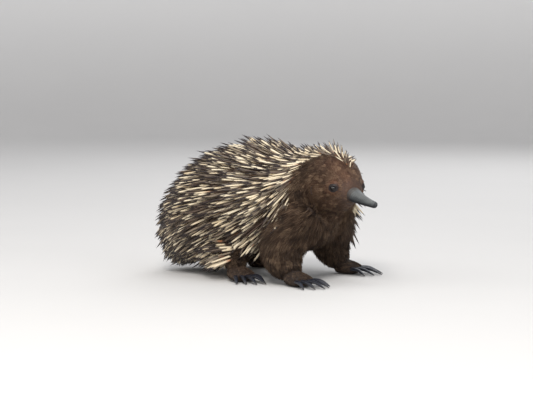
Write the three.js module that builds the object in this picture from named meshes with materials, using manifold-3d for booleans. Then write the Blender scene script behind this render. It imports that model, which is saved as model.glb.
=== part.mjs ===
// A short-beaked echidna standing with its head raised, as a life-size museum model.
// Millimetres, +Z up. The animal faces +X, its right side is -Y, and its soles stand on z = 0.
import * as THREE from "three";
import { mergeVertices } from "three/addons/utils/BufferGeometryUtils.js";
import Module from "manifold-3d";

const wasm = await Module();
wasm.setup();

// Driving dimensions
const GAP = 0.3;
const SOLE_LENGTH = 42;
const BEAK_LENGTH = 63;
const BEAK_DROOP = -14;
const EYE_RADIUS = 4.8;
const EAR_HEIGHT = 17;

// Numbers of faces, which keep the solids light
const TRUNK_SIDES = 20;
const RINGS_BETWEEN_STATIONS = 2;
const LEG_SIDES = 11;
const PAD_SIDES = 10;
const CLAW_SIDES = 5;
const BEAK_SIDES = 10;
const BEAK_RINGS = 11;
const SPINE_SIDES = 4;

// The looks of the outer surfaces
const FUR = { colour: 0x4a3528, roughness: 0.95 };
const SPINES = { colour: 0xc9b68d, roughness: 0.5 };
const BEAK_SKIN = { colour: 0x53585b, roughness: 0.6 };
const CLAW_HORN = { colour: 0x1d1d24, roughness: 0.35 };
const EYEBALL = { colour: 0x0c0a09, roughness: 0.08 };

// The trunk from the tail's tip to the face, out to the tips of the fur. Each station is a ring round the body's
// axis: its centre; how far it reaches to each side, up and down; how the axis pitches and turns there in degrees;
// and how far round from the back its spines grow, how long they are and how far they stand up from the back.
const station = (name, at, [side, up, down], [pitch, yaw], [spiny, spine, lift]) => (
  { name, at, side, up, down, pitch, yaw, spiny, spine, lift });
const TRUNK = [
  station("tail_tip", [-184, 0, 27], [14, 13, 10], [36, 0], [165, 28, 22]),
  station("tail_middle", [-176, 0, 36], [36, 32, 18], [35, 0], [156, 37, 20]),
  station("tail_root", [-160, 0, 54], [60, 56, 34], [31, 0], [152, 47, 18]),
  station("rump", [-131, 0, 77], [80, 74, 54], [22, 0], [149, 55, 17]),
  station("hips", [-90, 0, 98], [92, 83, 69], [13, 0], [145, 60, 17]),
  station("back", [-38, 0, 113], [95, 83, 80], [6, 0], [141, 61, 18]),
  station("chest", [14, 0, 120], [89, 77, 82], [4, 0], [130, 57, 20]),
  station("shoulders", [54, 0, 125], [77, 68, 73], [10, -4], [112, 50, 23]),
  station("neck_root", [78, -2, 134], [64, 60, 65], [13, -11], [88, 42, 30]),
  station("neck_front", [93, -5, 142], [54, 54, 56], [8, -18], [36, 33, 38]),
  station("head_back", [107, -10, 147], [47, 51, 48], [1, -22], [20, 26, 46]),
  station("head_middle", [121.5, -16.2, 146.5], [40, 47, 43], [-9, -24], [12, 20, 50]),
  station("brow", [135, -22.3, 143.5], [31.5, 39, 34], [-14, -25], [6, 15, 52]),
  station("muzzle", [145.5, -27.2, 140.5], [23, 26.5, 23], [-16, -25], [0, 12, 38]),
  station("face_front", [153.2, -30.8, 138], [15, 15, 15], [-16, -25], [0, 10, 38]),
];

// Each leg's joints from inside the trunk to above the sole, with the leg's reach across and fore and aft, then where
// the sole lies and which way it heads. The legs stand as in a slow walk.
const joint = (at, side, up) => ({ at, side, up });
const LEGS = {
  front_right: {
    joints: [
      joint([72, -38, 108], 29, 35), joint([65, -58, 86], 31, 35), joint([56, -73, 60], 31, 34),
      joint([63, -81, 36], 27, 29), joint([78, -85, 19], 22, 18),
    ],
    sole: [90, -88], heading: -14,
  },
  front_left: {
    joints: [
      joint([64, 38, 108], 29, 35), joint([59, 59, 85], 31, 34), joint([48, 74, 59], 29, 32),
      joint([52, 82, 35], 25, 26), joint([62, 86, 19], 21, 17),
    ],
    sole: [73, 88], heading: 6,
  },
  hind_right: {
    joints: [
      joint([-70, -38, 80], 26, 35), joint([-54, -54, 60], 24, 30), joint([-36, -69, 41], 19, 22),
      joint([-28, -78, 18], 16, 15),
    ],
    sole: [-17, -84], heading: -28,
  },
  hind_left: {
    joints: [
      joint([-86, 38, 80], 26, 35), joint([-83, 54, 60], 24, 30), joint([-84, 68, 41], 19, 22),
      joint([-89, 77, 18], 16, 15),
    ],
    sole: [-91, 85], heading: 64,
  },
};

// A foot's pad, from its heel to its toes: the share of the sole's length from its middle, the height of its middle,
// and its reach to the side and up
const PAD = [
  { share: -0.46, rise: 12, side: 11, up: 9 },
  { share: -0.3, rise: 12, side: 17, up: 12 },
  { share: 0, rise: 11, side: 21, up: 12 },
  { share: 0.3, rise: 9, side: 21, up: 10 },
  { share: 0.46, rise: 8, side: 17, up: 7 },
];
const TOE_RISE = 8.5;
const TOE_SHARE = 0.42;
const TOE_CURVE = 0.35;
const KNUCKLE = [5, 8, 5.5];

// A foot's claws from its inner to its outer toe: how far each is turned outwards from the foot's heading, how far
// across the foot it starts, and its length. The second hind claw is the long one that grooms between the spines.
const CLAWS = {
  front: [
    { turn: -20, across: -16, length: 25 },
    { turn: -9, across: -8.5, length: 32 },
    { turn: 0, across: 0, length: 35 },
    { turn: 9, across: 8.5, length: 33 },
    { turn: 21, across: 16, length: 26 },
  ],
  hind: [
    { turn: -16, across: -14, length: 20 },
    { turn: -8, across: -7, length: 38 },
    { turn: 2, across: 0.5, length: 33 },
    { turn: 12, across: 7.5, length: 27 },
    { turn: 24, across: 14.5, length: 22 },
  ],
};

const UP = new THREE.Vector3(0, 0, 1);
const AHEAD = new THREE.Vector3(1, 0, 0);
const radians = THREE.MathUtils.degToRad;

// Smooth curves through the trunk's stations
const smooth = (points) => new THREE.CatmullRomCurve3(points, false, "catmullrom", 0.5);
const stationCurve = (pick) => smooth(TRUNK.map((s) => new THREE.Vector3(...pick(s))));
const trunkCentre = stationCurve((s) => s.at);
const trunkReach = stationCurve((s) => [s.side, s.up, s.down]);
const trunkTurn = stationCurve((s) => [s.pitch, s.yaw, 0]);
const trunkSpines = stationCurve((s) => [s.spiny, s.spine, s.lift]);

// The place along the trunk of a named station, or part of the way to the next: 0 is the tail's tip, 1 the face.
function along(name, share = 0) {
  return (TRUNK.findIndex((s) => s.name === name) + share) / (TRUNK.length - 1);
}

// The direction that a heading and a pitch in degrees give.
function heading(yaw, pitch = 0) {
  const flat = Math.cos(radians(pitch));
  return new THREE.Vector3(
    flat * Math.cos(radians(yaw)), flat * Math.sin(radians(yaw)), Math.sin(radians(pitch)));
}

// The trunk's own axes at a place along it.
function trunkFrame(t) {
  const turn = trunkTurn.getPoint(t);
  const forward = heading(turn.y, turn.x);
  const left = UP.clone().cross(forward).normalize();
  return { forward, left, up: forward.clone().cross(left) };
}

// A point on the trunk's surface: angle 0 is the back, and a quarter turn is the left flank.
function trunkPoint(t, angle, swell = 0) {
  const { left, up } = trunkFrame(t);
  const reach = trunkReach.getPoint(t);
  const rise = Math.cos(angle) * ((Math.cos(angle) > 0 ? reach.y : reach.z) + swell);
  return trunkCentre.getPoint(t)
    .addScaledVector(left, Math.sin(angle) * (reach.x + swell))
    .addScaledVector(up, rise);
}

// A point of the trunk's surface with its outward normal and its tangents towards the tail and down the flank.
function trunkSurface(t, angle) {
  const step = 0.004;
  const point = trunkPoint(t, angle);
  const ahead = Math.min(1, t + step);
  const behind = Math.max(0, t - step);
  const tailward = trunkPoint(behind, angle).sub(trunkPoint(ahead, angle)).normalize();
  const round = trunkPoint(t, angle + step).sub(trunkPoint(t, angle - step)).normalize();
  const normal = tailward.clone().cross(round).normalize();
  if (normal.dot(point.clone().sub(trunkCentre.getPoint(t))) < 0) normal.negate();
  return { point, normal, tailward, downward: round.multiplyScalar(Math.sign(angle) || 1) };
}

// A closed mesh through rings of points, with a fan on each end.
function loft(rings) {
  const sides = rings[0].length;
  const positions = rings.flat().flatMap((p) => [p.x, p.y, p.z]);
  const faces = [];
  const lastRing = (rings.length - 1) * sides;
  for (let first = 0; first < lastRing; first += sides) {
    for (let s = 0; s < sides; s++) {
      const a = first + s;
      const b = first + ((s + 1) % sides);
      faces.push(a, b, a + sides, b, b + sides, a + sides);
    }
  }
  for (const first of [0, lastRing]) {
    const middle = new THREE.Vector3();
    rings[first / sides].forEach((p) => middle.addScaledVector(p, 1 / sides));
    const centre = positions.length / 3;
    positions.push(middle.x, middle.y, middle.z);
    for (let s = 0; s < sides; s++) {
      const edge = [first + s, first + ((s + 1) % sides)];
      faces.push(centre, ...(first === 0 ? edge.reverse() : edge));
    }
  }
  return meshOf(positions, faces);
}

function meshOf(positions, faces) {
  const geometry = new THREE.BufferGeometry();
  geometry.setAttribute("position", new THREE.Float32BufferAttribute(positions, 3));
  geometry.setIndex(faces);
  return geometry;
}

// A three.js geometry as a solid, with its faces turned outwards.
function solidOf(geometry) {
  const bare = geometry.clone();
  bare.deleteAttribute("normal");
  bare.deleteAttribute("uv");
  const merged = mergeVertices(bare, 1e-4);
  const vertProperties = new Float32Array(merged.attributes.position.array);
  const triVerts = new Uint32Array(merged.index.array);
  const made = new wasm.Manifold(new wasm.Mesh({ numProp: 3, vertProperties, triVerts }));
  if (made.volume() > 0) return made;
  for (let i = 0; i < triVerts.length; i += 3) {
    [triVerts[i + 1], triVerts[i + 2]] = [triVerts[i + 2], triVerts[i + 1]];
  }
  return new wasm.Manifold(new wasm.Mesh({ numProp: 3, vertProperties, triVerts }));
}

// The trunk from one place to another as a solid, swollen by a gap where it cuts what grows from it, and otherwise
// drawn in by half the gap at each end that meets another piece.
function trunkPiece(from, to, swell = 0) {
  const step = 1 / ((TRUNK.length - 1) * RINGS_BETWEEN_STATIONS);
  const count = Math.round((to - from) / step);
  const rings = [];
  for (let r = 0; r <= count; r++) {
    const t = from + r * step;
    const drawn = (r === 0 && from > 0) - (r === count && to < 1);
    const grown = (r === count) - (r === 0);
    const shift = trunkFrame(t).forward.multiplyScalar(swell ? grown * swell : (drawn * GAP) / 2);
    const ring = [];
    for (let s = 0; s < TRUNK_SIDES; s++) {
      ring.push(trunkPoint(t, (2 * Math.PI * s) / TRUNK_SIDES, swell).add(shift));
    }
    rings.push(ring);
  }
  return solidOf(loft(rings));
}

// A limb, digit or beak: rings round a bent line, each with its own reach to the side and up. The reference is a
// direction that the line never follows for long. The number of rings between two stations is the steps.
function limb(stations, sides, { reference = AHEAD, steps = 2, swell = 0 } = {}) {
  const line = smooth(stations.map((s) => new THREE.Vector3(...s.at)));
  const reach = smooth(stations.map((s) => new THREE.Vector3(s.side, s.up, 0)));
  const count = (stations.length - 1) * steps;
  const rings = [];
  for (let r = 0; r <= count; r++) {
    const t = r / count;
    const forward = line.getTangent(t);
    const side = reference.clone().cross(forward).normalize();
    const up = forward.clone().cross(side);
    const size = reach.getPoint(t);
    const end = (r === count) - (r === 0);
    const centre = line.getPoint(t).addScaledVector(forward, end * swell);
    const ring = [];
    for (let s = 0; s < sides; s++) {
      const angle = (2 * Math.PI * (s + 0.5)) / sides;
      ring.push(centre.clone()
        .addScaledVector(side, Math.cos(angle) * (size.x + swell))
        .addScaledVector(up, Math.sin(angle) * (size.y + swell)));
    }
    rings.push(ring);
  }
  return solidOf(loft(rings));
}

// A ball stretched along three axes: across, along and up.
function ball(centre, [across, length, rise], { yaw = 0, pitch = 0, swell = 0, detail = 6 } = {}) {
  const geometry = new THREE.SphereGeometry(1, detail, Math.round(detail * 0.75));
  geometry.rotateX(Math.PI / 2);
  geometry.scale(length + swell, across + swell, rise + swell);
  const forward = heading(yaw, pitch);
  const left = UP.clone().cross(forward).normalize();
  const turned = new THREE.Matrix4().makeBasis(forward, left, forward.clone().cross(left));
  geometry.applyMatrix4(turned.setPosition(centre));
  return solidOf(geometry);
}

const animal = new THREE.Group();
const solids = new Map();

// Keeps a solid's largest closed surface as a named mesh of the animal.
function addNode(name, solid, look) {
  const body = solid.decompose().sort((a, b) => b.volume() - a.volume())[0];
  const mesh = body.getMesh();
  const material = new THREE.MeshStandardMaterial(
    { color: look.colour, roughness: look.roughness, metalness: 0 });
  const made = new THREE.Mesh(meshOf([...mesh.vertProperties], [...mesh.triVerts]), material);
  made.name = name;
  animal.add(made);
  solids.set(name, body);
}

// A point of a foot: ahead of its middle, across it and above the floor.
function footPoint(leg, ahead, across, rise) {
  const forward = heading(leg.heading);
  return new THREE.Vector3(leg.sole[0], leg.sole[1], rise)
    .addScaledVector(forward, ahead)
    .addScaledVector(UP.clone().cross(forward), across);
}

// The toes of a foot, where each claw grows: outwards is +1 on a left foot and -1 on a right one.
function toesOf(leg, kind, outwards) {
  return CLAWS[kind].map((claw) => {
    const ahead = SOLE_LENGTH * TOE_SHARE - Math.abs(claw.across) * TOE_CURVE;
    return {
      root: footPoint(leg, ahead, claw.across * outwards, TOE_RISE),
      direction: leg.heading + claw.turn * outwards,
      length: claw.length,
    };
  });
}

// A foot: a broad pad with a flat sole and a knuckle for each claw.
function footSolid(leg, toes, swell = 0) {
  const pad = limb(
    PAD.map((p) => ({ ...p, at: footPoint(leg, p.share * SOLE_LENGTH, 0, p.rise) })),
    PAD_SIDES, { reference: UP, steps: 1, swell });
  const knuckles = toes.map((toe) => ball(toe.root, KNUCKLE, { yaw: toe.direction, pitch: -12, swell }));
  return wasm.Manifold.union([pad, ...knuckles]).trimByPlane([0, 0, 1], 0);
}

// A claw: out of its toe, over and down to just above the floor, wide and blunt like a spade.
function clawSolid(toe) {
  const forward = heading(toe.direction);
  const bare = 8;
  const place = (ahead, rise, side, up) => joint(
    toe.root.clone().addScaledVector(forward, ahead).setZ(rise), side, up);
  return limb([
    place(3, TOE_RISE, 2.7, 2.2),
    place(bare, TOE_RISE + 1.2, 3.3, 2.7),
    place(bare + toe.length * 0.4, TOE_RISE + 0.4, 3.1, 2.3),
    place(bare + toe.length * 0.75, TOE_RISE * 0.6, 2.2, 1.5),
    place(bare + toe.length, 1.4, 0.8, 0.6),
  ], CLAW_SIDES, { reference: UP, steps: 1 });
}

// Legs, feet and claws
const swollenTrunk = trunkPiece(0, 1, GAP);
for (const [name, leg] of Object.entries(LEGS)) {
  const kind = name.startsWith("front") ? "front" : "hind";
  const outwards = name.endsWith("left") ? 1 : -1;
  const toes = toesOf(leg, kind, outwards);
  const footRoom = footSolid(leg, toes, GAP);
  const lowest = 1;
  addNode("leg_" + name, limb(leg.joints, LEG_SIDES).subtract(footRoom).subtract(swollenTrunk)
    .trimByPlane([0, 0, 1], lowest), FUR);
  addNode("foot_" + name, footSolid(leg, toes), FUR);
  toes.forEach((toe, i) => {
    addNode("claw_" + name + "_" + (i + 1), clawSolid(toe).subtract(footRoom), CLAW_HORN);
  });
}

// Spines: stout hairs that lie towards the tail, droop on the flanks, stand up a little and clear the floor
const SPINE_RADIUS = 2.6;
const SPINE_SINK = 8;
const SPINE_BELLY = 0.24;
const SPINE_SPACING = { tail: 14, torso: 17.6, neck: 12, head: 8 };
const ROW_SHARE = 0.9;
const DROOP = radians(38);
const LIFT_ON_FLANK = 15;
const SPREAD = radians(5);
const LOWEST_TIP = 6;

// What is tried to clear a spine of other pieces: the extra lift in degrees, and the share of its length
const SPINE_TRIES = [[0, 1], [7, 1], [14, 1], [22, 1], [8, 0.75], [24, 0.75], [40, 0.7]];

// Random numbers from 0 to 1 that come out the same each time.
function seeded(seed) {
  let state = seed;
  return () => {
    state = (state + 0x6d2b79f5) | 0;
    let mixed = Math.imul(state ^ (state >>> 15), 1 | state);
    mixed = (mixed + Math.imul(mixed ^ (mixed >>> 7), 61 | mixed)) ^ mixed;
    return ((mixed ^ (mixed >>> 14)) >>> 0) / 4294967296;
  };
}

// The places of a piece's spines: rows across the trunk, an even distance apart, each set half a step aside.
function spineRoots(from, to, spacing) {
  const roots = [];
  const rowAngle = Math.PI / 3;
  const nearAngle = 0.02;
  const nearPlace = 0.002;
  const angleStep = (t, angle) => (
    (spacing * nearAngle) / trunkPoint(t, angle + nearAngle).distanceTo(trunkPoint(t, angle)));
  const placeStep = (t) => (
    (spacing * ROW_SHARE * nearPlace) / trunkPoint(t + nearPlace, rowAngle).distanceTo(trunkPoint(t, rowAngle)));
  let odd = false;
  for (let t = from; t < to; t += placeStep(t)) {
    const limit = radians(trunkSpines.getPoint(t).x);
    const firstStep = angleStep(t, 0);
    for (const side of [1, -1]) {
      const first = odd ? firstStep / 2 : (side < 0) * firstStep;
      for (let angle = first; angle < limit; angle += angleStep(t, angle)) roots.push({ t, angle: angle * side });
    }
    odd = !odd;
  }
  return roots;
}

// One spine: narrow at its sunk root, stoutest a quarter of the way up, and tapered to a point. Made fatter by a gap,
// it tests for room.
function spineSolid(root, length, direction, normal, fat = 0) {
  const belly = root.clone().addScaledVector(direction, length * SPINE_BELLY);
  const tip = root.clone().addScaledVector(direction, length + fat * 2);
  const sunk = root.clone().addScaledVector(normal, -SPINE_SINK).addScaledVector(direction, -SPINE_SINK);
  const across = direction.clone().cross(normal).normalize();
  const over = across.clone().cross(direction);
  const stout = SPINE_RADIUS * Math.min(1, 0.6 + length / 100) + fat;
  const positions = [];
  const faces = [];
  for (let s = 0; s < SPINE_SIDES; s++) {
    const angle = (2 * Math.PI * s) / SPINE_SIDES;
    positions.push(...belly.clone()
      .addScaledVector(across, Math.cos(angle) * stout)
      .addScaledVector(over, Math.sin(angle) * stout));
    const next = (s + 1) % SPINE_SIDES;
    faces.push(next, s, SPINE_SIDES, s, next, SPINE_SIDES + 1);
  }
  return solidOf(meshOf([...positions, ...sunk, ...tip], faces));
}

// A direction turned up, where it must be, until it sinks no faster than a limit.
function keptUp(direction, limit) {
  if (direction.z >= limit) return direction;
  return direction.clone().setZ(0).setLength(Math.sqrt(1 - limit * limit)).setZ(limit);
}

// A piece of the trunk from one place to another with its spines fused on. A spine that would meet another piece
// stands up further, then is shorter, and is left out where neither helps.
function spinyPiece(plain, [from, to], spacing, seed, others) {
  const random = seeded(seed);
  const rootRoom = 0.012;
  const testGap = GAP + 0.1;
  const spines = [];
  for (const { t, angle } of spineRoots(from + rootRoom, to - rootRoom, spacing)) {
    const { point, normal, tailward, downward } = trunkSurface(t, angle);
    const { x: limit, y: fullLength, z: backLift } = trunkSpines.getPoint(t);
    const share = Math.abs(angle) / radians(limit);
    const droop = DROOP * share ** 1.5 + (random() - 0.5) * 2 * SPREAD;
    const lie = tailward.multiplyScalar(Math.cos(droop)).addScaledVector(downward, Math.sin(droop));
    const lift = radians(backLift + (LIFT_ON_FLANK - backLift) * share) + (random() - 0.5) * SPREAD;
    const ownLength = fullLength * (0.88 + 0.24 * random());
    for (const [extra, shorter] of SPINE_TRIES) {
      const length = ownLength * shorter;
      const raised = lift + radians(extra);
      const direction = keptUp(
        lie.clone().multiplyScalar(Math.cos(raised)).addScaledVector(normal, Math.sin(raised)),
        (LOWEST_TIP - point.z) / length);
      const probe = spineSolid(point, length, direction, normal, testGap);
      if (others.every((other) => probe.intersect(other).isEmpty())) {
        spines.push(spineSolid(point, length, direction, normal));
        break;
      }
    }
  }
  return wasm.Manifold.union([plain, ...spines]);
}

// Eyes, set low at the muzzle's root, each in a socket with a raised lid
const EYE_PLACE = along("brow", 0.45);
const EYE_ANGLE = radians(80);
const EYE_SINK = 1.6;
const EYE_DETAIL = 10;
const LID_THICKNESS = 1.5;

// The middle of an eye and the direction that it looks: side is +1 for the left one and -1 for the right one.
function eyeOf(side) {
  const { point, normal } = trunkSurface(EYE_PLACE, EYE_ANGLE * side);
  return { centre: point.addScaledVector(normal, -EYE_SINK), normal };
}

function eyeball(eye, swell = 0) {
  return ball(eye.centre, [EYE_RADIUS, EYE_RADIUS, EYE_RADIUS], { swell, detail: EYE_DETAIL });
}

function lidRing(eye) {
  const geometry = new THREE.TorusGeometry(EYE_RADIUS + 0.6, LID_THICKNESS, 5, EYE_DETAIL);
  geometry.applyQuaternion(new THREE.Quaternion().setFromUnitVectors(UP, eye.normal));
  geometry.translate(...eye.centre.clone().addScaledVector(eye.normal, EYE_SINK * 0.8));
  return solidOf(geometry);
}

// The head with a lid round each eye and a socket for it.
function withEyes(head) {
  const eyes = [eyeOf(1), eyeOf(-1)];
  return wasm.Manifold.difference([
    wasm.Manifold.union([head, ...eyes.map(lidRing)]), ...eyes.map((eye) => eyeball(eye, GAP))]);
}

// Ears: an upright slit in a low rim behind each eye
const EAR_PLACE = along("head_back", 0.35);
const EAR_ANGLE = radians(96);
const EAR_RIM = 2.8;
const EAR_STANDS_OUT = 3.2;

function earSolid(side) {
  const { point, normal } = trunkSurface(EAR_PLACE, EAR_ANGLE * side);
  const yaw = THREE.MathUtils.radToDeg(Math.atan2(normal.y, normal.x));
  const rim = ball(point, [4.5, 4, EAR_HEIGHT / 2], { yaw, detail: 7 });
  const cup = ball(point.clone().addScaledVector(normal, EAR_STANDS_OUT),
    [2.2, 4.5, EAR_HEIGHT / 2 - EAR_RIM], { yaw });
  return rim.subtract(cup).subtract(swollenTrunk);
}

// The beak: bare, ringed with low wrinkles near its root, and a little upturned at its tip
const BEAK_ROOT_REACH = 12.4;
const BEAK_TIP_REACH = 5.2;
const BEAK_TAPER = 1.7;
const BEAK_SINK = 0.2;
const BEAK_UPTURN = 5;
const NOSTRIL = [0.9, 2.2, 1.2];
const MOUTH_HEIGHT = 0.7;
const beakRoot = trunkCentre.getPoint(1);
const beakYaw = TRUNK.at(-1).yaw;

// A ring of the beak at a share of its length, lifted by its upward curve.
function beakRing(share, side = 0, up = 0) {
  const at = beakRoot.clone().addScaledVector(heading(beakYaw, BEAK_DROOP), share * BEAK_LENGTH);
  at.z += BEAK_UPTURN * share * (share - 0.4);
  return { at, side, up };
}

function beakSolid() {
  const rings = [beakRing(-BEAK_SINK, BEAK_ROOT_REACH - 0.4, BEAK_ROOT_REACH - 0.4)];
  for (let i = 0; i <= BEAK_RINGS; i++) {
    const share = (i / BEAK_RINGS) * 0.9;
    const wrinkle = (i % 2 ? 0.35 : -0.25) * (1 - share);
    const reach = BEAK_TIP_REACH + (BEAK_ROOT_REACH - BEAK_TIP_REACH) * (1 - share) ** BEAK_TAPER + wrinkle;
    rings.push(beakRing(share, reach, reach * 0.96));
  }
  rings.push(beakRing(0.97, 4.9, 4.6), beakRing(1, 3, 2.8));
  const bare = limb(rings, BEAK_SIDES, { reference: UP, steps: 1 });

  // Nostrils on top near the tip, and the small mouth under it
  const sideways = UP.clone().cross(heading(beakYaw));
  const nostrils = [-1, 1].map((side) => ball(
    beakRing(0.93).at.addScaledVector(sideways, side * 2).addScaledVector(UP, 4.6),
    NOSTRIL, { yaw: beakYaw, pitch: BEAK_DROOP + 6 }));
  const mouth = new THREE.BoxGeometry(12, 14, MOUTH_HEIGHT);
  mouth.rotateY(radians(-BEAK_DROOP - 8));
  mouth.rotateZ(radians(beakYaw));
  mouth.translate(...beakRing(1.02).at.addScaledVector(UP, -2.2));
  return wasm.Manifold.difference([bare, swollenTrunk, ...nostrils, solidOf(mouth)]);
}

addNode("beak", beakSolid(), BEAK_SKIN);
for (const [name, side] of [["left", 1], ["right", -1]]) {
  addNode("eye_" + name, eyeball(eyeOf(side)), EYEBALL);
  addNode("ear_" + name, earSolid(side), FUR);
}

// The trunk's pieces. The spines of each clear the other pieces as they are by then.
const SPANS = {
  tail: [0, along("tail_root")],
  torso: [along("tail_root"), along("neck_root")],
  neck: [along("neck_root"), along("head_back")],
  head: [along("head_back"), 1],
};
const plainPieces = new Map(Object.entries(SPANS).map(([name, span]) => [name, trunkPiece(...span)]));
["torso", "tail", "neck", "head"].forEach((name, i) => {
  const plain = plainPieces.get(name);
  plainPieces.delete(name);
  const others = [...solids.values(), ...plainPieces.values()];
  const spiny = spinyPiece(plain, SPANS[name], SPINE_SPACING[name], 11 + i, others);
  if (name === "head") addNode(name, withEyes(spiny), FUR);
  else addNode(name, spiny, SPINES);
});

// The origin is on the floor under the middle of the whole animal
const middle = new THREE.Box3().setFromObject(animal).getCenter(new THREE.Vector3());
animal.position.set(-middle.x, -middle.y, 0);
const part = new THREE.Group();
part.add(animal);

export default part;
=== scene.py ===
"""A short-beaked echidna standing with its head raised, life size, as a museum would show it.

All sizes are in metres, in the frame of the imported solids: +X is the way the body faces, +Y its left
and +Z up, and the soles stand on z = 0. One skin is drawn over the trunk, the legs and the feet. Spines
and locks of fur grow on it. The beak, eyes, lids, ears and claws are pieces of their own.
"""

import logging
import math
from dataclasses import dataclass, field, fields, replace
from enum import Enum

import bpy
import numpy as np
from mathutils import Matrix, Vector
from mathutils.bvhtree import BVHTree
from mathutils.kdtree import KDTree


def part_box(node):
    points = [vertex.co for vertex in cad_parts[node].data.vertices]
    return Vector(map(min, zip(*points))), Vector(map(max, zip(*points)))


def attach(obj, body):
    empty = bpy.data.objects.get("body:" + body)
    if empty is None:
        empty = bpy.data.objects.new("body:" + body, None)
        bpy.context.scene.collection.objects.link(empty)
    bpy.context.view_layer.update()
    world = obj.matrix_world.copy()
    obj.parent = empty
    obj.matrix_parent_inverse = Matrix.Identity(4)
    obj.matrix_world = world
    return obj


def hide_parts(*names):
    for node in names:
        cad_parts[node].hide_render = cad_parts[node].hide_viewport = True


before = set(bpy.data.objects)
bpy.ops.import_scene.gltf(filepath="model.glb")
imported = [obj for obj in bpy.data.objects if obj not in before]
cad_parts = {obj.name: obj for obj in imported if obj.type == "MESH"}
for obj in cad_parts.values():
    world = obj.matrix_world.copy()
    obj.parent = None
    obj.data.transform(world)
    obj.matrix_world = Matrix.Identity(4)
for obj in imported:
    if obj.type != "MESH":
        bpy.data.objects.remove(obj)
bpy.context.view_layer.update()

Array = np.ndarray
Triple = tuple[float, float, float]
Pair = tuple[float, float]
Row = tuple[float, ...]
Three = tuple[Array, Array, Array]
Socket = bpy.types.NodeSocket
Material = bpy.types.Material
log = logging.getLogger("echidna")

UP = np.array([0.0, 0.0, 1.0])
AHEAD = np.array([1.0, 0.0, 0.0])
TURN = 2 * math.pi
BODY = "root"
BAKE_MAP = "OFBake"
FLOOR_ROOM = 0.0003
PATCH_SLANT = 0.15
PATCH_ROOM = 1.02
TINY = 1e-12


class Side(Enum):
    """A side of the animal, as its sign along +Y."""

    LEFT = 1
    RIGHT = -1

    @property
    def label(self) -> str:
        """The side's name in the names of pieces."""
        return self.name.lower()


class Part(Enum):
    """What a place of the skin belongs to."""

    TRUNK = 0
    FRONT_RIGHT = 1
    FRONT_LEFT = 2
    HIND_RIGHT = 3
    HIND_LEFT = 4
    PAD = 5


def unit(vectors: Array) -> Array:
    """The vectors at length one."""
    return vectors / np.maximum(np.linalg.norm(vectors, axis=-1, keepdims=True), TINY)


def dot(a: Array, b: Array) -> Array:
    """The scalar products of two rows of vectors."""
    return np.sum(a * b, axis=-1)


def eased(low: float, high: float, value: Array) -> Array:
    """A smooth step from 0 at low to 1 at high."""
    share = np.clip((value - low) / (high - low), 0, 1)
    return share * share * (3 - 2 * share)


def heading(yaw: Array | float, pitch: Array | float = 0.0) -> Array:
    """The direction that a heading to the left and a pitch upwards give, both in degrees."""
    yaw, pitch = np.radians(yaw), np.radians(pitch)
    return np.stack([np.cos(pitch) * np.cos(yaw), np.cos(pitch) * np.sin(yaw), np.sin(pitch) + 0 * yaw], -1)


def framed(forward: Array, reference: Array = UP) -> Three:
    """A direction, with the one to its left and the one up from both."""
    side = unit(np.cross(reference, forward))
    return forward, side, np.cross(forward, side)


def rings_round(line: Array, side: Array, up: Array, across: Array, rise: Array) -> Array:
    """Rings of points round a line, from how far each lies to the side and up."""
    return line[:, None] + side[:, None] * across[..., None] + up[:, None] * rise[..., None]


def smooth(points: Array, t: Array) -> Array:
    """Places on the smooth curve through a row of points.

    Args:
        points: The points that the curve goes through.
        t: Where along the curve, 0 at its first point and 1 at its last.

    Returns:
        One place for each t.
    """
    spans = len(points) - 1
    place = np.clip(t, 0, 1) * spans
    first = np.minimum(place.astype(int), spans - 1)
    part = (place - first)[..., None]
    padded = np.vstack([2 * points[0] - points[1], points, 2 * points[-1] - points[-2]])
    before, start, end, after = (padded[first + k] for k in range(4))
    leave, arrive = (end - before) / 2, (after - start) / 2
    cubic = (2 * start - 2 * end + leave + arrive) * part - 3 * start + 3 * end - 2 * leave - arrive
    return cubic * part**2 + leave * part + start


def circle(count: int, turned: float = 0.0) -> Array:
    """Angles evenly round a circle, from 0 or part of a step further."""
    return TURN * (np.arange(count) + turned) / count


def waves(points: Array, length: float, seed: int, count: int = 10) -> Array:
    """Smooth random values over space.

    Args:
        points: The places.
        length: About how far apart the hills are.
        seed: Which random field.
        count: How many waves are summed.

    Returns:
        A value for each place, about 1 at its furthest from 0.
    """
    random = np.random.default_rng(seed)
    directions = unit(random.normal(size=(count, 3))) * (TURN / length)
    directions = directions * random.uniform(0.6, 1.4, (count, 1))
    phases = random.uniform(0, TURN, count)
    return np.sin(points @ directions.T + phases).sum(axis=1) / math.sqrt(count) / 1.4


def nearest_of(places: Array, points: Array) -> Array:
    """Which place each point is nearest to.

    Args:
        places: The places.
        points: The points.

    Returns:
        The places' numbers, one for each point.
    """
    finder = KDTree(len(places))
    for number, place in enumerate(places):
        finder.insert(place, number)
    finder.balance()
    return np.array([finder.find(point)[1] for point in points])


# Meshes in the making


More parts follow.
